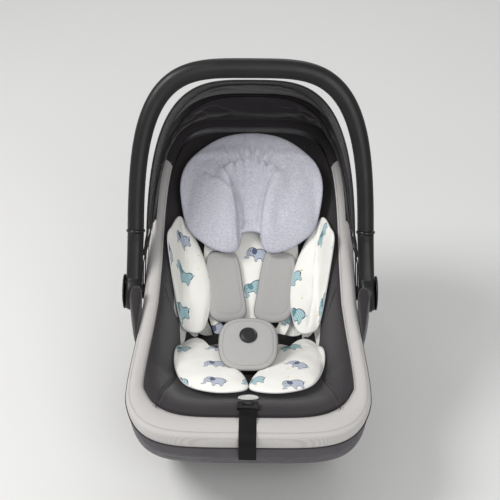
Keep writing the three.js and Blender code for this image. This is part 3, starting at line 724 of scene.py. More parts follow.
for side, label in ((-1, "left"), (1, "right")):
    outline = catmull(FLAP_OUTLINE, True, 96)
    rings = []
    for k in range(1, 33):
        t = k / 32 * math.pi
        r = math.sin(t) ** 0.55 if k < 32 else 0.02
        share = 0.5 - 0.5 * math.copysign(abs(math.cos(t)) ** 0.6, math.cos(t))
        ring = []
        for py, pz in outline:
            y, z = mix(FLAP_MIDDLE[0], py, r), mix(FLAP_MIDDLE[1], pz, r)
            outer = flap_reach(y) + 0.8 * noise.noise(Vector((y * 0.05, z * 0.05, side)))
            ring.append(spot(side * mix(half_width(y) + FLAP_CLEAR, outer, share), y, z))
        rings.append(ring)
    flap = skin(f"side_cover_flap_{label}", rings)
    wear(flap, dark_cloth)
    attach(flap, "carrier")
    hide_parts(f"side_flap_{label}")

FLAP_SEAM = [(-100, 216), (-104, 234), (-84, 256), (-54, 276), (-40, 282)]
for side, label in ((-1, "left"), (1, "right")):
    rows = []
    for inset in (0.90, 0.80):
        line = []
        for py, pz in catmull(FLAP_SEAM, False, 60):
            y, z = mix(FLAP_MIDDLE[0], py, inset), mix(FLAP_MIDDLE[1], pz, inset)
            share = 0.5 + 0.5 * math.cos(math.asin(min(1, inset ** (1 / 0.55)))) ** 0.6
            line.append(spot(side * (mix(half_width(y) + FLAP_CLEAR, flap_reach(y), share) + 0.7), y, z))
        rows.append(line)
    sew(f"flap_stitches_{label}", rows, dark_thread, "carrier")

# ---------------------------------------------------------------- handle
# A gas-assisted nylon tube in satin black, bent to a squared arch. Two lower arms with hubs are
# plugged into its ends behind thin gloss collars.
HANDLE_TILT = math.radians(25)
HANDLE_REACH, HANDLE_HALF, HANDLE_POWER, HANDLE_RADIUS, RING_AT = 384.0, 198.5, 3.8, 14.2, 107.0


def swung(x, forward, up, tilt=HANDLE_TILT):
    """A point of the upright handle, in mm from the hub axis, swung back by its tilt."""
    y = forward * math.cos(tilt) + up * math.sin(tilt)
    z = -forward * math.sin(tilt) + up * math.cos(tilt)
    return spot(x, y, PIVOT_HEIGHT + z)


def arch(t, reach, half, power):
    """Point (x, height over the hub axis) of a squared arch, t from its left foot to its right one."""
    angle = math.pi * (1 - t)
    return half * bent(math.cos(angle), power), reach * bent(math.sin(angle), power)


def arch_start(height, reach, power):
    """The t at which an arch's left leg has a height."""
    return math.asin((height / reach) ** (power / 2)) / math.pi


def spread(t):
    """Spreads steps evenly over an arch's legs as well as its top."""
    return 2 * t * t if t < 0.5 else 1 - 2 * (1 - t) * (1 - t)


GRIP_STEPS, GRIP_SIDES = 200, 40
GRIP_SWELL, GRIP_SHIFT = 2.6, 1.6  # the hand grip at the top is deeper, mostly outwards
start = arch_start(RING_AT + 3, HANDLE_REACH, HANDLE_POWER)
centres = [arch(mix(start, 1 - start, spread(i / GRIP_STEPS)), HANDLE_REACH, HANDLE_HALF, HANDLE_POWER)
           for i in range(GRIP_STEPS + 1)]
grip_rings = []
for i, (cx, cz) in enumerate(centres):
    ax, az = centres[max(i - 1, 0)]
    bx, bz = centres[min(i + 1, GRIP_STEPS)]
    length = math.hypot(bx - ax, bz - az)
    ux, uz = (bx - ax) / length, (bz - az) / length
    top = clamp((cz - RING_AT - 60) / 200) ** 1.5
    ring = []
    for k in range(GRIP_SIDES):
        t = 2 * math.pi * k / GRIP_SIDES
        # slightly squared section with a fine parting line along its front and back
        c, s = bent(math.cos(t), 2.25), bent(math.sin(t), 2.25)
        ridge = 0.35 * math.exp(-(math.cos(t) / 0.06) ** 2)
        deep = HANDLE_RADIUS + ridge
        out = GRIP_SHIFT * top + (deep + GRIP_SWELL * top) * c
        ring.append(swung(cx - uz * out, deep * s, cz + ux * out))
    grip_rings.append(ring)
grip = skin("handle_tube", grip_rings)
satin_black = moulded("satin_black", tint(16, 16, 17), 0.42, 0.2, 1200, 0.05)
satin_black.node_tree.nodes["Principled BSDF"].inputs["Specular IOR Level"].default_value = 0.35
wear(grip, satin_black)
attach(grip, "handle")
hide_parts("handle_grip")

HUB_IN, HUB_OUT, HUB_RADIUS = 189.4, 216.0, 33.0
ARM_TOP, ARM_STEPS, ARM_SIDES = RING_AT - 3, 90, 48
ring_at = arch_start(RING_AT, HANDLE_REACH, HANDLE_POWER)
ARM_X = abs(arch(ring_at, HANDLE_REACH, HANDLE_HALF, HANDLE_POWER)[0])
hub_gloss = moulded("hub_gloss", tint(15, 15, 16), 0.26, 0.1, 900, 0.05)
for side, label in ((-1, "left"), (1, "right")):
    rings = []
    for i in range(ARM_STEPS + 1):
        up = mix(-HUB_RADIUS, ARM_TOP, i / ARM_STEPS)
        lift = clamp(up / ARM_TOP)
        disc = math.sqrt(max(0.0, HUB_RADIUS ** 2 - up ** 2))
        blade = mix(27, HANDLE_RADIUS, clamp(lift * 1.15) ** 0.6)
        deep = max(disc, blade) if up > 0 else disc
        thick = mix((HUB_OUT - HUB_IN) / 2, HANDLE_RADIUS, lift ** 1.5)
        thick *= math.sqrt(clamp((up + HUB_RADIUS) / 7)) if up < -HUB_RADIUS + 7 else 1
        centre_x = mix((HUB_OUT + HUB_IN) / 2, ARM_X, lift ** 0.8)
        power = mix(5, 2.25, lift ** 0.5)
        ring = []
        for k in range(ARM_SIDES):
            t = 2 * math.pi * k / ARM_SIDES
            ring.append(swung(side * (centre_x + max(thick, 0.3) * bent(math.cos(t), power)),
                              max(deep, 0.3) * bent(math.sin(t), power), up))
        rings.append(ring)
    arm = skin(f"lower_arm_{label}", rings)
    wear(arm, satin_black)
    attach(arm, "handle")
    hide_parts(f"handle_arm_{label}")
    facet_round(f"handle_ring_{label}", hub_gloss, 0.0004)
    facet_round(f"hub_cover_{label}", satin_black, 0.0012)
    facet_round(f"handle_button_{label}", hub_gloss, 0.0012)

# The red catch under the right hub.
catch_red = moulded("catch_red", tint(196, 34, 28), 0.42, 0.2)
facet_round("handle_catch", catch_red)

# Zinc-plated steel: the hub pins, the buckle tongues and the harness yoke.
plated = Recipe("plated_steel")
brushed = plated.noise(plated.coords(scale=(1, 30, 1)), 400, 3)
plated.shader.inputs["Metallic"].default_value = 1.0
plated.link(plated.blend(plated.spread(brushed, 0.3, 0.7), tint(150, 150, 152), tint(198, 198, 196)),
            "Base Color")
plated.link(plated.spread(brushed, 0.3, 0.7, 0.28, 0.45), "Roughness")
for node in ("pivot_pin_left", "pivot_pin_right", "buckle_tongue_left", "buckle_tongue_right",
             "harness_yoke"):
    facet_round(node, plated.material, 0.0004)

# ---------------------------------------------------------------- canopy
# Two flat plastic bows swing on the hub seats. A dark charcoal cloth is sewn over them in two
# panels: one between the bows, one from the rear bow down to the head end of the rim.
CANOPY_FRONT_TILT, CANOPY_MID_TILT = math.radians(35), math.radians(48)
BOW_REACH, BOW_HALF, BOW_POWER, CLOTH_CLEAR = 361.0, 175.5, 3.4, 4.0
BOW_LOWEST, CLOTH_LOWEST, HEM_START = 122.0, 62.0, 116.0
# where each bow leans out to its eye: the eye's x, and the heights between which it leans
FRONT_LEAN, MID_LEAN = (186.1, 46.0, 100.0), (183.2, 74.0, 122.0)

for node in ("canopy_bow_mid", "canopy_bow_front", "belt_guide"):
    facet_round(node, satin_black, 0.0005)


def bow_point(t, tilt, lift, lean=FRONT_LEAN, lowest=CLOTH_LOWEST):
    """Point along a bow, t from its left foot to its right one, lifted off it."""
    low = arch_start(lowest, BOW_REACH, BOW_POWER)
    x, up = arch(mix(low, 1 - low, spread(t)), BOW_REACH + lift, BOW_HALF + lift, BOW_POWER)
    eye_x, lean_from, lean_to = lean
    s = clamp((lean_to - up) / (lean_to - lean_from))
    snug = mix(lift, 1.3, clamp((BOW_LOWEST - up) / (BOW_LOWEST - CLOTH_LOWEST)))
    return swung(mix(x, math.copysign(eye_x + snug, x), s * s * (3 - 2 * s)), 0, up, tilt)


def rim_edge(t, lift):
    """Hem of the canopy, above the rim from one side round the head to the other."""
    half = half_length(False)
    low = math.pi - math.asin(clamp((HEM_START - RIM_MIDDLE) / half) ** (RIM_POWER / 2))
    angle = mix(low, math.pi - low, t)
    x, y = rim_point(angle, 8 - lift)
    return spot(x, y, crest(y) + 4 + lift)


def ripple(t, s, seed, size):
    """Soft creases that run from the bows towards the middle of the cloth."""
    fan = noise.noise(Vector((t * 9, s * 1.6, seed)))
    ridge = 1 - 2 * abs(noise.noise(Vector((t * 17, s * 2.2, seed + 3))))
    fine = noise.noise(Vector((t * 34, s * 3.5, seed + 7)))
    free = math.sin(math.pi * s) * clamp(min(t, 1 - t) * 6 - 0.6)  # none beside the handle's arms
    return size * free * (fan + 0.7 * ridge ** 3 + 0.3 * fine)


def canopy_sheet(name, edge_a, edge_b, sag, size, seed, steps=180, shares=40, thick=0.9):
    """Closed thin sheet between two edges, hollowed a little between them."""
    centre = spot(0, 60, PIVOT_HEIGHT)

    def point(t, s, out):
        p = edge_a(t).lerp(edge_b(t), s)
        away = (p - centre).normalized()
        hollow = -sag * math.sin(math.pi * s) * math.sin(math.pi * t) ** 0.5
        return p + away * (hollow + ripple(t, s, seed, size) + out) * MM
    verts, faces = [], []
    for out in (0, thick):
        for i in range(steps + 1):
            for j in range(shares + 1):
                verts.append(point(i / steps, j / shares, out))
    row, layer = shares + 1, (steps + 1) * (shares + 1)
    for i in range(steps):
        for j in range(shares):
            a = i * row + j
            faces.append((a, a + row, a + row + 1, a + 1))
            faces.append(tuple(v + layer for v in (a, a + 1, a + row + 1, a + row)))
    for i in range(steps):
        for j in (0, shares):
            a = i * row + j
            faces.append((a, a + row, a + row + layer, a + layer))
    for j in range(shares):
        for i in (0, steps):
            a = i * row + j
            faces.append((a, a + 1, a + 1 + layer, a + layer))
    return finish_mesh(name, verts, faces)


canopy_cloth = woven("canopy_cloth", tint(46, 40, 45), 0.7, 0.4, 0.3, 0.7, 0.85, 0.35)
CLOTH_LEAD = math.radians(2.2)  # the cloth's front edge stands a little before its bow
front_tilt = CANOPY_FRONT_TILT - CLOTH_LEAD
front_sheet = canopy_sheet("canopy_front_cloth",
                           lambda t: bow_point(t, front_tilt, CLOTH_CLEAR),
                           lambda t: bow_point(t, CANOPY_MID_TILT, CLOTH_CLEAR, MID_LEAN), 3.0, 2.6, 1.0)
rear_sheet = canopy_sheet("canopy_rear_cloth",
                          lambda t: bow_point(t, CANOPY_MID_TILT, CLOTH_CLEAR, MID_LEAN, BOW_LOWEST - 14),
                          lambda t: rim_edge(t, 0.6), 7.0, 6.5, 5.0)
for sheet, node in ((front_sheet, "canopy_panel_front"), (rear_sheet, "canopy_panel_rear")):
    wear(sheet, canopy_cloth)
    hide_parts(node)
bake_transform(front_sheet)
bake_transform(rear_sheet)

# Piping along the front edge, over both bows and round the hem.
PIPE_STEPS = 160
lead_tilt = CANOPY_FRONT_TILT - math.radians(2.5)
seam_tilt = CANOPY_FRONT_TILT + math.radians(0.2)
pipes = {
    "canopy_front": [(lambda t: bow_point(t, lead_tilt, CLOTH_CLEAR + 0.8), 0.0019),
                     (lambda t: bow_point(t, seam_tilt, CLOTH_CLEAR + 0.9), 0.0012)],
    "canopy_mid": [(lambda t: bow_point(t, CANOPY_MID_TILT, CLOTH_CLEAR + 1.4, MID_LEAN), 0.0012)],
    "carrier": [(lambda t: rim_edge(t, 1.2), 0.0020)],
}
for body, cords in pipes.items():
    made = [cord_tube("pipe", [path(i / PIPE_STEPS) for i in range(PIPE_STEPS + 1)], radius)
            for path, radius in cords]
    pipe = join_pieces(f"canopy_piping_{body}", made)
    wear(pipe, piping_cloth)
    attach(pipe, body)

# ---------------------------------------------------------------- newborn insert
# A soft off-white cotton insert with a small scattered animal print: a back panel, two leaf
# wings beside the trunk and two lobes under the thighs, each crowned and edged with piping.
# outlines are (x, y) on the seat for the right side; each pad has a middle and two heights over it
WING = [(145, 60), (140, 100), (126, 136), (103, 118), (78, 72), (71, 30), (86, -16), (122, -6)]
LOBE = [(127, -110), (125, -50), (104, -18), (62, -24), (24, -62), (17, -128), (6, -165), (5, -204),
        (54, -214), (104, -186)]
BACK_PANEL = [(84, 70), (80, 140), (50, 186), (0, 190), (-50, 186), (-80, 140), (-84, 70),
              (-68, 2), (-40, -26), (0, -28), (40, -26), (68, 2)]


def mirrored(points, side):
    return [(side * x, y) for x, y in points]


def cushion(name, outline, centre, low, high, crown=0.5, relief=None, steps=144, shares=28, puff=0.0):
    """A stuffed pad on the seat: flat below, crowned above, pinched at its piped edge."""
    edge = catmull(outline, True, steps)
    rings = []
    full = high - low
    for k in range(1, 2 * shares):
        u = k / (2 * shares)
        turn = math.pi * u
        r = math.sin(turn) ** 0.62
        under = u < 0.5
        ring = []
        for ox, oy in edge:
            x, y = mix(centre[0], ox, r), mix(centre[1], oy, r)
            if under:
                w = low + full * 0.36 * max(0.0, r - 0.55) ** 2 * 4.9
            else:
                dome = (1 - r ** 3.2) ** crown
                w = low + full * (0.36 + 0.64 * dome)
                w += puff * noise.noise(Vector((x * 0.035, y * 0.035, full))) * (1 - r ** 4)
                if relief:
                    w += relief(x, y) * (1 - r ** 8)
            ring.append(spot(x, y, seat_height(x, y) + w))
        rings.append(ring)
    return skin(name, rings)


def puffed(piece, cap, pressure=3.0, frames=16):
    """Cloth under pressure rounds the pad and creases it; no point moves further than the cap."""
    start = piece.copy()
    start.data = piece.data.copy()
    bpy.context.collection.objects.link(start)
    stuff = start.modifiers.new("cloth", "CLOTH")
    stuff.settings.use_pressure = True
    stuff.settings.uniform_pressure_force = pressure
    stuff.settings.effector_weights.gravity = 0
    stuff.settings.quality = 4
    stuff.settings.tension_stiffness = 30
    stuff.settings.bending_stiffness = 0.3
    stuff.point_cache.frame_start, stuff.point_cache.frame_end = 1, frames
    scene = bpy.context.scene
    for f in range(1, frames + 1):
        scene.frame_set(f)
    swollen = start.evaluated_get(bpy.context.evaluated_depsgraph_get())
    for vertex, moved in zip(piece.data.vertices, swollen.data.vertices):
        step = moved.co - vertex.co
        if step.length > cap:
            step *= cap / step.length
        vertex.co += step
    bpy.data.objects.remove(start, do_unlink=True)
    scene.frame_set(1)


def piping_round(name, outline, height, radius, material):
    """Piping sewn into a pad's edge, at a height over the seat."""
    run = [spot(x, y, seat_height(x, y) + height) for x, y in catmull(outline, True, 160)]
    pipe = cord_tube(name, run, radius, closed=True, sides=8)
    wear(pipe, material)
    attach(pipe, "carrier")


# The print is a scatter of simple elephants and short dashes. The shader draws it from where a point
# lies on the unrolled cloth: each cell of a grid holds one, shifted and turned by chance.
ROLL_STEP, ROLL_START, ROLL_COUNT = 5, -335, 140
roll = [0.0]
for k in range(ROLL_COUNT):
    y = ROLL_START + k * ROLL_STEP
    climb = along(SEAT_LINE, y + ROLL_STEP) - along(SEAT_LINE, y)
    roll.append(roll[-1] + math.hypot(ROLL_STEP, climb))


def unroll(piece):
    """Writes where each vertex lies on the cloth before it was laid into the seat, in metres."""
    values = []
    for v in piece.data.vertices:
        x, y = v.co.x / MM, (v.co.y - pivot.y) / MM
        k = (y - ROLL_START) / ROLL_STEP
        down = mix(roll[int(k)], roll[int(k) + 1], k - int(k))
        across, height, steps = 0.0, seat_height(0, y), 5
        for i in range(1, steps + 1):
            nxt = seat_height(x * i / steps, y)
            across += math.hypot(x / steps, nxt - height)
            height = nxt
        values += [math.copysign(across, x) * MM, down * MM, 0.0]
    place = piece.data.attributes.new("print_place", "FLOAT_VECTOR", "POINT")
    place.data.foreach_set("vector", values)


ink = Recipe("print_cotton")
PRINT_CELL = 0.066


def print_layer(r, place, cell, shift, seed, turn=1.7, jitter=0.22):
    """Position inside a grid cell, and a random colour for the cell."""
    def vector(operation, a, b=None):
        inputs = {0: a} if b is None else {0: a, 1: b}
        return r.node("ShaderNodeVectorMath", inputs, operation=operation).outputs[0]
    scaled = vector("MULTIPLY", vector("ADD", place, (shift, shift * 0.63, 0)), (1 / cell, 1 / cell, 0))
    square = vector("ADD", vector("FLOOR", scaled), (seed, seed, seed))
    pick = r.node("ShaderNodeTexWhiteNoise", {"Vector": square}, noise_dimensions="3D")
    centred = vector("SUBTRACT", pick.outputs["Color"], (0.5, 0.5, 0.5))
    off = vector("MULTIPLY", centred, (jitter, jitter, 0))
    inside = vector("SUBTRACT", vector("SUBTRACT", vector("FRACTION", scaled), (0.5, 0.5, 0)), off)
    angle = r.maths("MULTIPLY", r.maths("SUBTRACT", pick.outputs["Value"], 0.5), turn)
    turned = r.node("ShaderNodeVectorRotate", {"Vector": inside, "Angle": angle}, rotation_type="Z_AXIS")
    return turned.outputs[0], pick


def oval(r, point, cx, cy, rx, ry):
    """Below 1 inside an ellipse."""
    near = r.node("ShaderNodeVectorMath", {0: point, 1: (cx, cy, 0)}, operation="SUBTRACT")
    unit = r.node("ShaderNodeVectorMath", {0: near.outputs[0], 1: (1 / rx, 1 / ry, 0)},
                  operation="MULTIPLY")
    return r.node("ShaderNodeVectorMath", {0: unit.outputs[0]}, operation="LENGTH").outputs["Value"]


def nearest(r, values):
    found = values[0]
    for value in values[1:]:
        found = r.maths("MINIMUM", found, value)
    return found


place = ink.coords()
flat_place = ink.node("ShaderNodeAttribute", attribute_name="print_place").outputs["Vector"]
beast, pick = print_layer(ink, flat_place, PRINT_CELL, 0.021, 3.0)
shape = nearest(ink, [oval(ink, beast, 0.05, 0.00, 0.19, 0.13),      # body
                      oval(ink, beast, -0.15, 0.05, 0.115, 0.115),   # head
                      oval(ink, beast, -0.27, -0.02, 0.035, 0.11),   # trunk
                      oval(ink, beast, -0.30, -0.12, 0.06, 0.03),    # trunk tip
                      oval(ink, beast, -0.04, -0.13, 0.045, 0.09),   # front legs
                      oval(ink, beast, 0.15, -0.13, 0.045, 0.09),    # hind legs
                      oval(ink, beast, 0.25, 0.02, 0.05, 0.018)])    # tail
ear = oval(ink, beast, -0.09, 0.07, 0.075, 0.10)
eye = oval(ink, beast, -0.20, 0.07, 0.014, 0.014)
chosen = ink.node("ShaderNodeSeparateColor", {"Color": pick.outputs["Color"]})
present = ink.spread(chosen.outputs[2], 0.80, 0.81, 1.0, 0.0)
hatch = ink.spread(ink.waves(beast, 9.0, "DIAGONAL"), 0.55, 0.65)
coat = ink.blend(ink.spread(chosen.outputs[1], 0.45, 0.5), tint(190, 197, 208), tint(168, 202, 204))
coat = ink.blend(ink.maths("MULTIPLY", hatch, 0.5), coat, tint(104, 114, 142))
ear_ink = ink.blend(ink.spread(chosen.outputs[1], 0.45, 0.5), tint(84, 92, 120), tint(92, 134, 142))
coat = ink.blend(ink.spread(ear, 1.0, 0.94), coat, ear_ink)
coat = ink.blend(ink.spread(eye, 1.1, 0.9), coat, tint(40, 44, 56))
filled = ink.maths("MULTIPLY", ink.spread(shape, 0.99, 0.95), present)
outline_ink = ink.maths("MULTIPLY", ink.spread(shape, 1.14, 1.10), present)
dash, dash_pick = print_layer(ink, flat_place, PRINT_CELL * 0.4, 0.004, 9.0, 6.283)
dashes = ink.spread(oval(ink, dash, 0.0, 0.05, 0.10, 0.03), 1.1, 0.9)
chance = ink.spread(dash_pick.outputs["Value"], 0.72, 0.73)
cotton_tone = ink.noise(place, 26, 4)
thread_tone = ink.noise(place, 1400, 2)
cotton = ink.blend(ink.spread(cotton_tone, 0.4, 0.8, 0, 0.5), tint(236, 235, 229), tint(224, 223, 219))
ground = ink.blend(ink.maths("MULTIPLY", dashes, chance), cotton, tint(222, 196, 110))
clear = ink.maths("MAXIMUM", ink.spread(shape, 1.25, 1.3), ink.maths("SUBTRACT", 1.0, present))
ground = ink.blend(clear, cotton, ground)
printed = ink.blend(outline_ink, ground, tint(58, 64, 82))
printed = ink.blend(filled, printed, coat)
ink.link(printed, "Base Color")
ink.shader.inputs["Roughness"].default_value = 0.9
ink.shader.inputs["Sheen Weight"].default_value = 0.15
ink.bump(thread_tone, 0.25, 0.0003)
print_cotton = ink.material
print_piping = woven("print_piping_cloth", tint(214, 214, 214), 0.6, 0.4, 0.1)

BACK_MIDDLE, BACK_LOW, BACK_HIGH = (0, 80), 11.4, 15.2
insert_back = cushion("insert_back_panel", BACK_PANEL, BACK_MIDDLE, BACK_LOW, BACK_HIGH, 0.4, puff=0.8)
unroll(insert_back)
wear(insert_back, print_cotton)
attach(insert_back, "carrier")
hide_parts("insert_back")

RIDGE = [(102, -10), (112, 30), (116, 80), (126, 128)]  # the seam down the middle of a wing
LOBE_CREASE = ((30, -60), (100, -44))
WING_MIDDLE, WING_LOW, WING_HIGH, WING_PIPING = (110, 64), 21.2, 40, 28.0
LOBE_MIDDLE, LOBE_LOW, LOBE_HIGH, LOBE_PIPING = (66, -120), 6.2, 22, 12.0
PAD_PUFF_CAP, PRINT_CORD = 0.004, 0.0011


def wing_relief(side):
    def relief(x, y):
        d = min(line_distance(x * side, y, a, b) for a, b in zip(RIDGE, RIDGE[1:]))
        return groove(d, 3.0, 3.0) + 1.5 * noise.noise(Vector((x * 0.05, y * 0.05, 4 + side)))
    return relief


def lobe_relief(x, y):
    crease = groove(line_distance(abs(x), y, *LOBE_CREASE), 3, 1.6)
    return crease + 1.4 * noise.noise(Vector((x * 0.04, y * 0.03, 12)))


for side, label in ((-1, "left"), (1, "right")):
    wing_edge, lobe_edge = mirrored(WING, side), mirrored(LOBE, side)
    wing = cushion(f"insert_wing_pad_{label}", wing_edge, (side * WING_MIDDLE[0], WING_MIDDLE[1]),
                   WING_LOW, WING_HIGH, 0.55, wing_relief(side), puff=1.6)
    puffed(wing, PAD_PUFF_CAP)
    lobe = cushion(f"insert_thigh_pad_{label}", lobe_edge, (side * LOBE_MIDDLE[0], LOBE_MIDDLE[1]),
                   LOBE_LOW, LOBE_HIGH, 0.5, lobe_relief, puff=2.2)
    puffed(lobe, PAD_PUFF_CAP)
    for pad, node, fill in ((wing, f"insert_wing_{label}", 0.7), (lobe, f"insert_seat_{label}", 0.6)):
        unroll(pad)
        wear(pad, print_cotton)
        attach(pad, "carrier")
        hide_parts(node)
    piping_round(f"insert_wing_piping_{label}", wing_edge, WING_PIPING, PRINT_CORD,
                 print_piping)
    piping_round(f"insert_thigh_piping_{label}", lobe_edge, LOBE_PIPING, PRINT_CORD,
                 print_piping)

# ---------------------------------------------------------------- head pillow
# A horseshoe of heather jersey filled with fibre. Its seams run from the nest outwards, so the
# cloth gathers into soft pleats, and a row of smocking closes the foot of the nest.
PILLOW = [(127, 166), (111, 209), (64, 239), (0, 248), (-64, 239), (-111, 209), (-127, 166),
          (-114, 120), (-84, 97), (-54, 86), (-30, 86), (-20, 96), (-18, 110), (0, 114), (18, 110),
          (20, 96), (30, 86), (54, 86), (84, 97), (114, 120)]
PILLOW_MIDDLE, PILLOW_LOW, PILLOW_HIGH, PILLOW_PIPING = (0, 174), 35.2, 67, 46.5
# half the nest's width at each y, its middle line, its top, and where its pleats fan out from
NEST = [(60, 14), (96, 18), (112, 20), (130, 21), (150, 25), (163, 30), (175, 33), (184, 31), (191, 23),
        (197, 2)]
NEST_X, NEST_TOP, FAN_Y = -3.0, 195.0, 152
SMOCK_ROWS = (119, 131)
PLEATS = [math.radians(a) for a in (36, 54, 71, 88, 105, 122, 139, 156)]


def nest_depth(x, y):
    """Distance in mm from a point inside the head nest to its edge; negative outside."""
    return min(along(NEST, y) - abs(x - NEST_X), (NEST_TOP - y) * 1.1)


def pillow_relief(x, y):
    """The nest's hollow and seam, the pleats round it, the smocking at its foot, and soft lumps."""
    inside = nest_depth(x, y)
    hollow = -25 * clamp(inside / 13) ** 0.6
    rim = 5.0 * math.exp(-((inside + 17) / 12) ** 2)
    seam = groove(inside, 2.4, 12.0)
    dx, dy = x - NEST_X, y - FAN_Y
    folds = 0.0
    for k, angle in enumerate(PLEATS):
        forward = dx * math.cos(angle) + dy * math.sin(angle)
        aside = dy * math.cos(angle) - dx * math.sin(angle)
        if forward > 0 and inside < 2:
            fade = clamp(-inside / 4 + 0.4) * clamp((96 - forward) / 34)
            folds += groove(aside + 2.5 * math.sin(forward * 0.09 + k), 2.4, 7.5) * fade
            folds += 2.8 * math.exp(-((aside - 7) / 4.5) ** 2) * fade
    smock = 0.0
    if inside > 0:
        rows = sum(groove(y - row, 1.4, 3.2) for row in SMOCK_ROWS)
        gathers = 0.9 * math.cos(x * 1.15) * math.exp(-((y - 125) / 7) ** 2)
        smock = (rows + gathers) * clamp(inside / 3)
    fold = groove(x - NEST_X + 10 - (y - 150) * 0.08, 2.2, 3.0) * clamp(inside / 6) * clamp((y - 134) / 10)
    lumps = 1.6 * noise.noise(Vector((x * 0.045, y * 0.045, 21)))
    lumps += 0.7 * noise.noise(Vector((x * 0.13, y * 0.13, 4)))
    return hollow + rim + seam + folds + smock + fold + lumps


pillow = cushion("head_pillow_pad", PILLOW, PILLOW_MIDDLE, PILLOW_LOW, PILLOW_HIGH, 0.5, pillow_relief,
                 steps=288, shares=84, puff=1.5)
puffed(pillow, 0.002, 2.0)
jersey = Recipe("heather_jersey")
jersey_place = jersey.coords()
wales = jersey.waves(jersey_place, 480, "X", 1.2)
courses = jersey.waves(jersey_place, 620, "Y", 1.2)
knit = jersey.maths("MULTIPLY", wales, courses)
streak = jersey.noise(jersey.coords(scale=(1, 5, 2)), 260, 3)
heather = jersey.blend(jersey.spread(streak, 0.35, 0.65), tint(176, 176, 188), tint(212, 212, 221))
jersey.link(jersey.blend(jersey.maths("MULTIPLY", knit, 0.35), heather, tint(160, 160, 174)), "Base Color")
jersey.shader.inputs["Roughness"].default_value = 0.95
jersey.shader.inputs["Sheen Weight"].default_value = 0.35
jersey.bump(jersey.maths("ADD", knit, streak), 0.35, 0.0004)
wear(pillow, jersey.material)
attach(pillow, "carrier")
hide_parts("head_pillow")
jersey_piping = woven("jersey_piping", tint(176, 176, 190), 0.6, 0.4, 0.2)
piping_round("head_pillow_piping", PILLOW, PILLOW_PIPING, 0.0013, jersey_piping)

# ---------------------------------------------------------------- shoulder pads
# Taupe twill sleeves with a thin foam, closed round the shoulder straps; a stitched line runs
# 5 mm inside the edge.
SHOULDER_MIDDLE, SHOULDER_LOW, SHOULDER_HIGH, SHOULDER_PIPING = (44, 46), 21.2, 31, 24.8
SHOULDER = [(79, 58), (76, 92), (50, 98), (26, 93), (13, 44), (9, 12), (36, 2), (70, 12)]


def inset_line(outline, centre, share):
    """A relief with a shallow stitched line, inside an outline by a share of its size."""
    edge = catmull(outline, True, 96)
    inner = [(mix(centre[0], x, share), mix(centre[1], y, share)) for x, y in edge]

    def relief(x, y):
        d = min(math.hypot(x - a, y - b) for a, b in inner)
        return groove(d, 2.0, 1.5)
    return relief


taupe_twill = Recipe("taupe_twill")
twill_place = taupe_twill.coords(turn=(0, 0, 0.6))
diagonal = taupe_twill.waves(twill_place, 380, "DIAGONAL", 0.4)
twill_fleck = taupe_twill.noise(twill_place, 900, 2)
twill_tone = taupe_twill.maths("ADD", taupe_twill.maths("MULTIPLY", diagonal, 0.5),
                               taupe_twill.maths("MULTIPLY", twill_fleck, 0.5))
taupe_twill.link(taupe_twill.blend(taupe_twill.spread(twill_tone, 0.2, 0.8), tint(152, 150, 148),
                                   tint(184, 183, 181)), "Base Color")
taupe_twill.shader.inputs["Roughness"].default_value = 0.92
taupe_twill.shader.inputs["Sheen Weight"].default_value = 0.2
taupe_twill.bump(twill_tone, 0.5, 0.0004)
taupe_piping = woven("taupe_piping", tint(138, 136, 134), 0.6, 0.4, 0.1)
for side, label in ((-1, "left"), (1, "right")):
    outline, middle = mirrored(SHOULDER, side), (side * SHOULDER_MIDDLE[0], SHOULDER_MIDDLE[1])
    pad = cushion(f"shoulder_sleeve_{label}", outline, middle, SHOULDER_LOW, SHOULDER_HIGH, 0.3,
                  inset_line(outline, middle, 0.84), steps=128, shares=32, puff=0.8)
    wear(pad, taupe_twill.material)
    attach(pad, "carrier")
    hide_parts(f"shoulder_pad_{label}")
    piping_round(f"shoulder_piping_{label}", outline, SHOULDER_PIPING, 0.0010, taupe_piping)

# ---------------------------------------------------------------- harness straps
# Polyester webbing, 26 mm wide, with a ribbed weave and bound edges.
web = Recipe("black_webbing")
web_place = web.coords()
web_rib = web.waves(web_place, 520, "Y", 0.3)
web_cross = web.waves(web_place, 330, "X", 0.3)
web_tone = web.maths("MULTIPLY", web_rib, web_cross)
web.link(web.blend(web_tone, tint(6, 6, 7), tint(20, 20, 21)), "Base Color")
web.shader.inputs["Roughness"].default_value = 0.62
web.shader.inputs["Specular IOR Level"].default_value = 0.2
web.bump(web_tone, 0.6, 0.0003)
WEB_SIDES, LAP_HALF, LAP_LIFT, LAP_TWIST = 20, 11.9, 0.9, 0.126


def strap_mesh(name, points, width, thickness, count=64):
    """Flat webbing along points in mm, with rounded edges; its width lies along x."""
    path = catmull(points, False, count)
    rings = []
    facing = math.copysign(1, path[1][1] - path[0][1])
    for i, p in enumerate(path):
        a, b = path[max(i - 1, 0)], path[min(i + 1, count - 1)]
        run = (Vector(b) - Vector(a)).normalized()
        up = Vector((0, -run.z, run.y)).normalized() * facing
        ring = []
        for k in range(WEB_SIDES):
            t = 2 * math.pi * k / WEB_SIDES
            across = Vector((width / 2 * bent(math.cos(t), 7), 0, 0))
            ring.append(spot(*(Vector(p) + across + up * thickness / 2 * bent(math.sin(t), 3))))
        rings.append(ring)
    return skin(name, rings)


def on_seat(x, y, w):
    """Point (x, y, z) at a height w over the seat."""
    return (x, y, seat_height(x, y) + w)


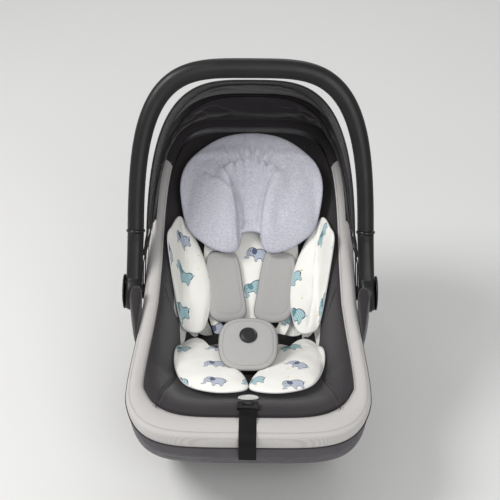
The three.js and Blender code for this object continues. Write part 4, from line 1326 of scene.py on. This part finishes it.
for side, label in ((-1, "left"), (1, "right")):
    shoulder = [on_seat(side * mix(37, 52, y / 205), y, 18) for y in range(205, 4, -20)]
    shoulder += [(side * 30, -14, 181), (side * 18, -32, 199)]
    strap = strap_mesh(f"shoulder_web_{label}", shoulder, 26, 1.6)
    lap = catmull([on_seat(side * 92, -16, 12), on_seat(side * 80, -27, 18), on_seat(side * 66, -43, 30),
                   (side * 48, -60, 196)], False, 40)
    rings = []
    for p in lap:
        ring = []
        for k in range(WEB_SIDES):
            t = 2 * math.pi * k / WEB_SIDES
            across, up = LAP_HALF * bent(math.cos(t), 7), LAP_LIFT * bent(math.sin(t), 3)
            ring.append(spot(p[0], p[1] + across, p[2] + up + across * LAP_TWIST))
        rings.append(ring)
    lap_strap = skin(f"lap_web_{label}", rings)
    for piece, node in ((strap, f"shoulder_strap_{label}"), (lap_strap, f"lap_strap_{label}")):
        wear(piece, web.material)
        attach(piece, "carrier")
        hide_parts(node)
wear(frame["nodes"]["crotch_strap"], web.material)

# ---------------------------------------------------------------- buckle and crotch pad
# The black buckle lies under a padded taupe square with a piped border and a round blank badge.
BUCKLE_TILT = math.radians(20.7)
BUCKLE_CENTRE = Vector((-2, -95, 207))
PAD_HALF_X, PAD_HALF_Y, PAD_LIFT, PAD_THICK, PAD_POWER = 49.5, 50.0, 2.0, 11.0, 2.8
BORDER = 0.87  # where the stitched border runs, as a share of the pad's size
TRIM_STEPS, TRIM_HEIGHT, BORDER_STEPS = 200, 6.4, 160


def tilted(x, y, z):
    """Point of the pad's own plane, z above it, in the frame."""
    p = Matrix.Rotation(BUCKLE_TILT, 3, "X") @ Vector((x, y, z))
    return spot(*(BUCKLE_CENTRE + p))


def pad_edge(angle, share):
    """Point (x, y) of the pad's outline, scaled by a share."""
    return (share * PAD_HALF_X * bent(math.cos(angle), PAD_POWER),
            share * PAD_HALF_Y * bent(math.sin(angle), PAD_POWER))


def square_pad(name, low, thick, relief, steps=160, shares=30):
    """A rounded square cushion, flatter below than above."""
    rings = []
    for k in range(1, 2 * shares):
        u = k / (2 * shares)
        r = math.sin(math.pi * u) ** 0.6
        under = u < 0.5
        ring = []
        for i in range(steps):
            x, y = pad_edge(2 * math.pi * i / steps, r)
            dome = (1 - r ** 4) ** 0.42
            z = low + thick * (0.4 - 0.4 * dome) if under else low + thick * (0.4 + 0.6 * dome)
            if not under:
                z += relief(x, y) * (1 - r ** 10)
            ring.append(tilted(x, y, z))
        rings.append(ring)
    return skin(name, rings)


def pad_relief(x, y):
    reach = ((abs(x) / PAD_HALF_X) ** PAD_POWER + (abs(y) / PAD_HALF_Y) ** PAD_POWER) ** (1 / PAD_POWER)
    return groove((reach - BORDER) * 50, 1.3, 0.9) + 0.5 * noise.noise(Vector((x * 0.06, y * 0.06, 2)))


crotch = square_pad("crotch_pad_cover", PAD_LIFT, PAD_THICK, pad_relief)
wear(crotch, taupe_twill.material)
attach(crotch, "carrier")
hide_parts("crotch_pad")
trim = [tilted(*pad_edge(2 * math.pi * i / TRIM_STEPS, 1.0), TRIM_HEIGHT) for i in range(TRIM_STEPS)]
crotch_trim = cord_tube("crotch_pad_piping", trim, 0.0013, closed=True, sides=8)
taupe_thread = woven("taupe_thread", tint(140, 134, 130), 0.5, 0.3, 0.1)
border = []
for i in range(BORDER_STEPS + 1):
    x, y = pad_edge(2 * math.pi * i / BORDER_STEPS, BORDER)
    dome = (1 - BORDER ** 4) ** 0.42
    border.append(tilted(x, y, PAD_LIFT + PAD_THICK * (0.4 + 0.6 * dome) + pad_relief(x, y) * 0.75 + 0.2))
sew("crotch_pad_stitches", [border], taupe_thread, "carrier", 0.0034, 0.0024, 0.00028)
wear(crotch_trim, taupe_piping)
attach(crotch_trim, "carrier")

badge_black = moulded("badge_black", tint(26, 26, 27), 0.34, 0.1)
BADGE_AT, BADGE_SIDES = 13.0, 64
BADGE_PROFILE = [(0.3, 13.5), (10, 13.5), (14.2, 13.5), (15, 14.0), (15, 14.9), (14.3, 15.5), (13.2, 15.5),
                 (12.7, 15.1), (11.6, 15.1), (11.1, 15.4), (6, 15.5), (0.3, 15.6)]  # radius, height
rings = []
for r, z in BADGE_PROFILE:
    rings.append([tilted(r * math.cos(t), BADGE_AT + r * math.sin(t), z)
                  for t in (2 * math.pi * k / BADGE_SIDES for k in range(BADGE_SIDES))])
badge = skin("crotch_badge_disc", rings)
wear(badge, badge_black)
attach(badge, "carrier")
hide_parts("crotch_badge")
facet_round("buckle_housing", satin_black, 0.0008)
facet_round("buckle_button", catch_red, 0.0006)
facet_round("adjuster_housing", satin_black, 0.0008)
facet_round("adjuster_button", hub_gloss, 0.0006)

# ---------------------------------------------------------------- harness adjuster strap
# The pull strap comes out of the adjuster slot and hangs over the front of the rim.
ADJUSTER_Y, SLOT_LIFT = -250, 3.4
PULL_LINE = [(0, -258.7, seat_height(0, ADJUSTER_Y) + SLOT_LIFT), (0, -266, 210), (0, -278, 211.5),
             (0, -296, 209.5), (0, -313, 207), (0, -321.6, 196), (0, -321.2, 178), (0, -321.2, 162)]
pull = strap_mesh("adjuster_web", PULL_LINE, 28, 1.8, 90)
wear(pull, web.material)
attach(pull, "carrier")
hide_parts("adjuster_strap")

# ---------------------------------------------------------------- oval patch
# A blank embroidered oval with a raised border, sewn to the cover above the adjuster; it is all drawn in white
# thread, without the grey of its border.
PATCH_Y, PATCH_HALF_X, PATCH_HALF_Y, PATCH_SIDES = -216, 17, 10, 96
PATCH_PROFILE = [(0.02, 1.3), (0.9, 1.3), (1.0, 1.7), (1.0, 2.6), (0.93, 3.2), (0.84, 3.2), (0.78, 2.7),
                 (0.4, 2.8), (0.02, 2.8)]  # share of its size, height
rings = []
for r, z in PATCH_PROFILE:
    ring = []
    for k in range(PATCH_SIDES):
        t = 2 * math.pi * k / PATCH_SIDES
        x, y = PATCH_HALF_X * r * math.cos(t), PATCH_Y + PATCH_HALF_Y * r * math.sin(t)
        ring.append(spot(*on_seat(x, y, z)))
    rings.append(ring)
patch = skin("oval_patch", rings)
patch_thread = woven("patch_thread", tint(232, 232, 228), 0.7, 0.7, 0.2)
wear(patch, patch_thread)
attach(patch, "carrier")
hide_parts("cover_patch")

# ---------------------------------------------------------------- studio
# A seamless pale floor and three soft lights; the main one stands up on the left.
FLOOR_HALF, FLOOR_Z = 9, -0.0005
corners = [(x * FLOOR_HALF, y * FLOOR_HALF, FLOOR_Z) for x, y in ((-1, -1), (1, -1), (1, 1), (-1, 1))]
floor = finish_mesh("studio_floor", corners, [(0, 1, 2, 3)], outward=False)
paper = Recipe("studio_paper")
paper_tone = paper.noise(paper.coords(), 1.2, 2)
paper.link(paper.blend(paper_tone, tint(221, 221, 219), tint(216, 216, 214)), "Base Color")
paper.shader.inputs["Roughness"].default_value = 0.95
wear(floor, paper.material)


def soft_light(name, place, size, power, colour=(1, 1, 1)):
    lamp = bpy.data.objects.new(name, bpy.data.lights.new(name, "AREA"))
    lamp.data.shape = "DISK"
    lamp.data.size, lamp.data.energy, lamp.data.color = size, power, colour
    lamp.location = Vector(place)
    lamp.rotation_mode = "QUATERNION"
    lamp.rotation_quaternion = (pivot - lamp.location).to_track_quat("-Z", "Y")
    bpy.context.collection.objects.link(lamp)


soft_light("key_light", (-1.7, -0.4, 2.4), 1.2, 50, (1.0, 0.99, 0.98))
soft_light("fill_light", (0.9, -2.6, 2.2), 2.0, 38)
soft_light("head_light", (0.3, 2.2, 2.2), 1.6, 10)
world = bpy.data.worlds.new("studio_air")
world.use_nodes = True
world.node_tree.nodes["Background"].inputs["Color"].default_value = (0.985, 0.985, 1.0, 1)
world.node_tree.nodes["Background"].inputs["Strength"].default_value = 0.5
bpy.context.scene.world = world
bpy.context.scene.view_settings.view_transform = "Standard"
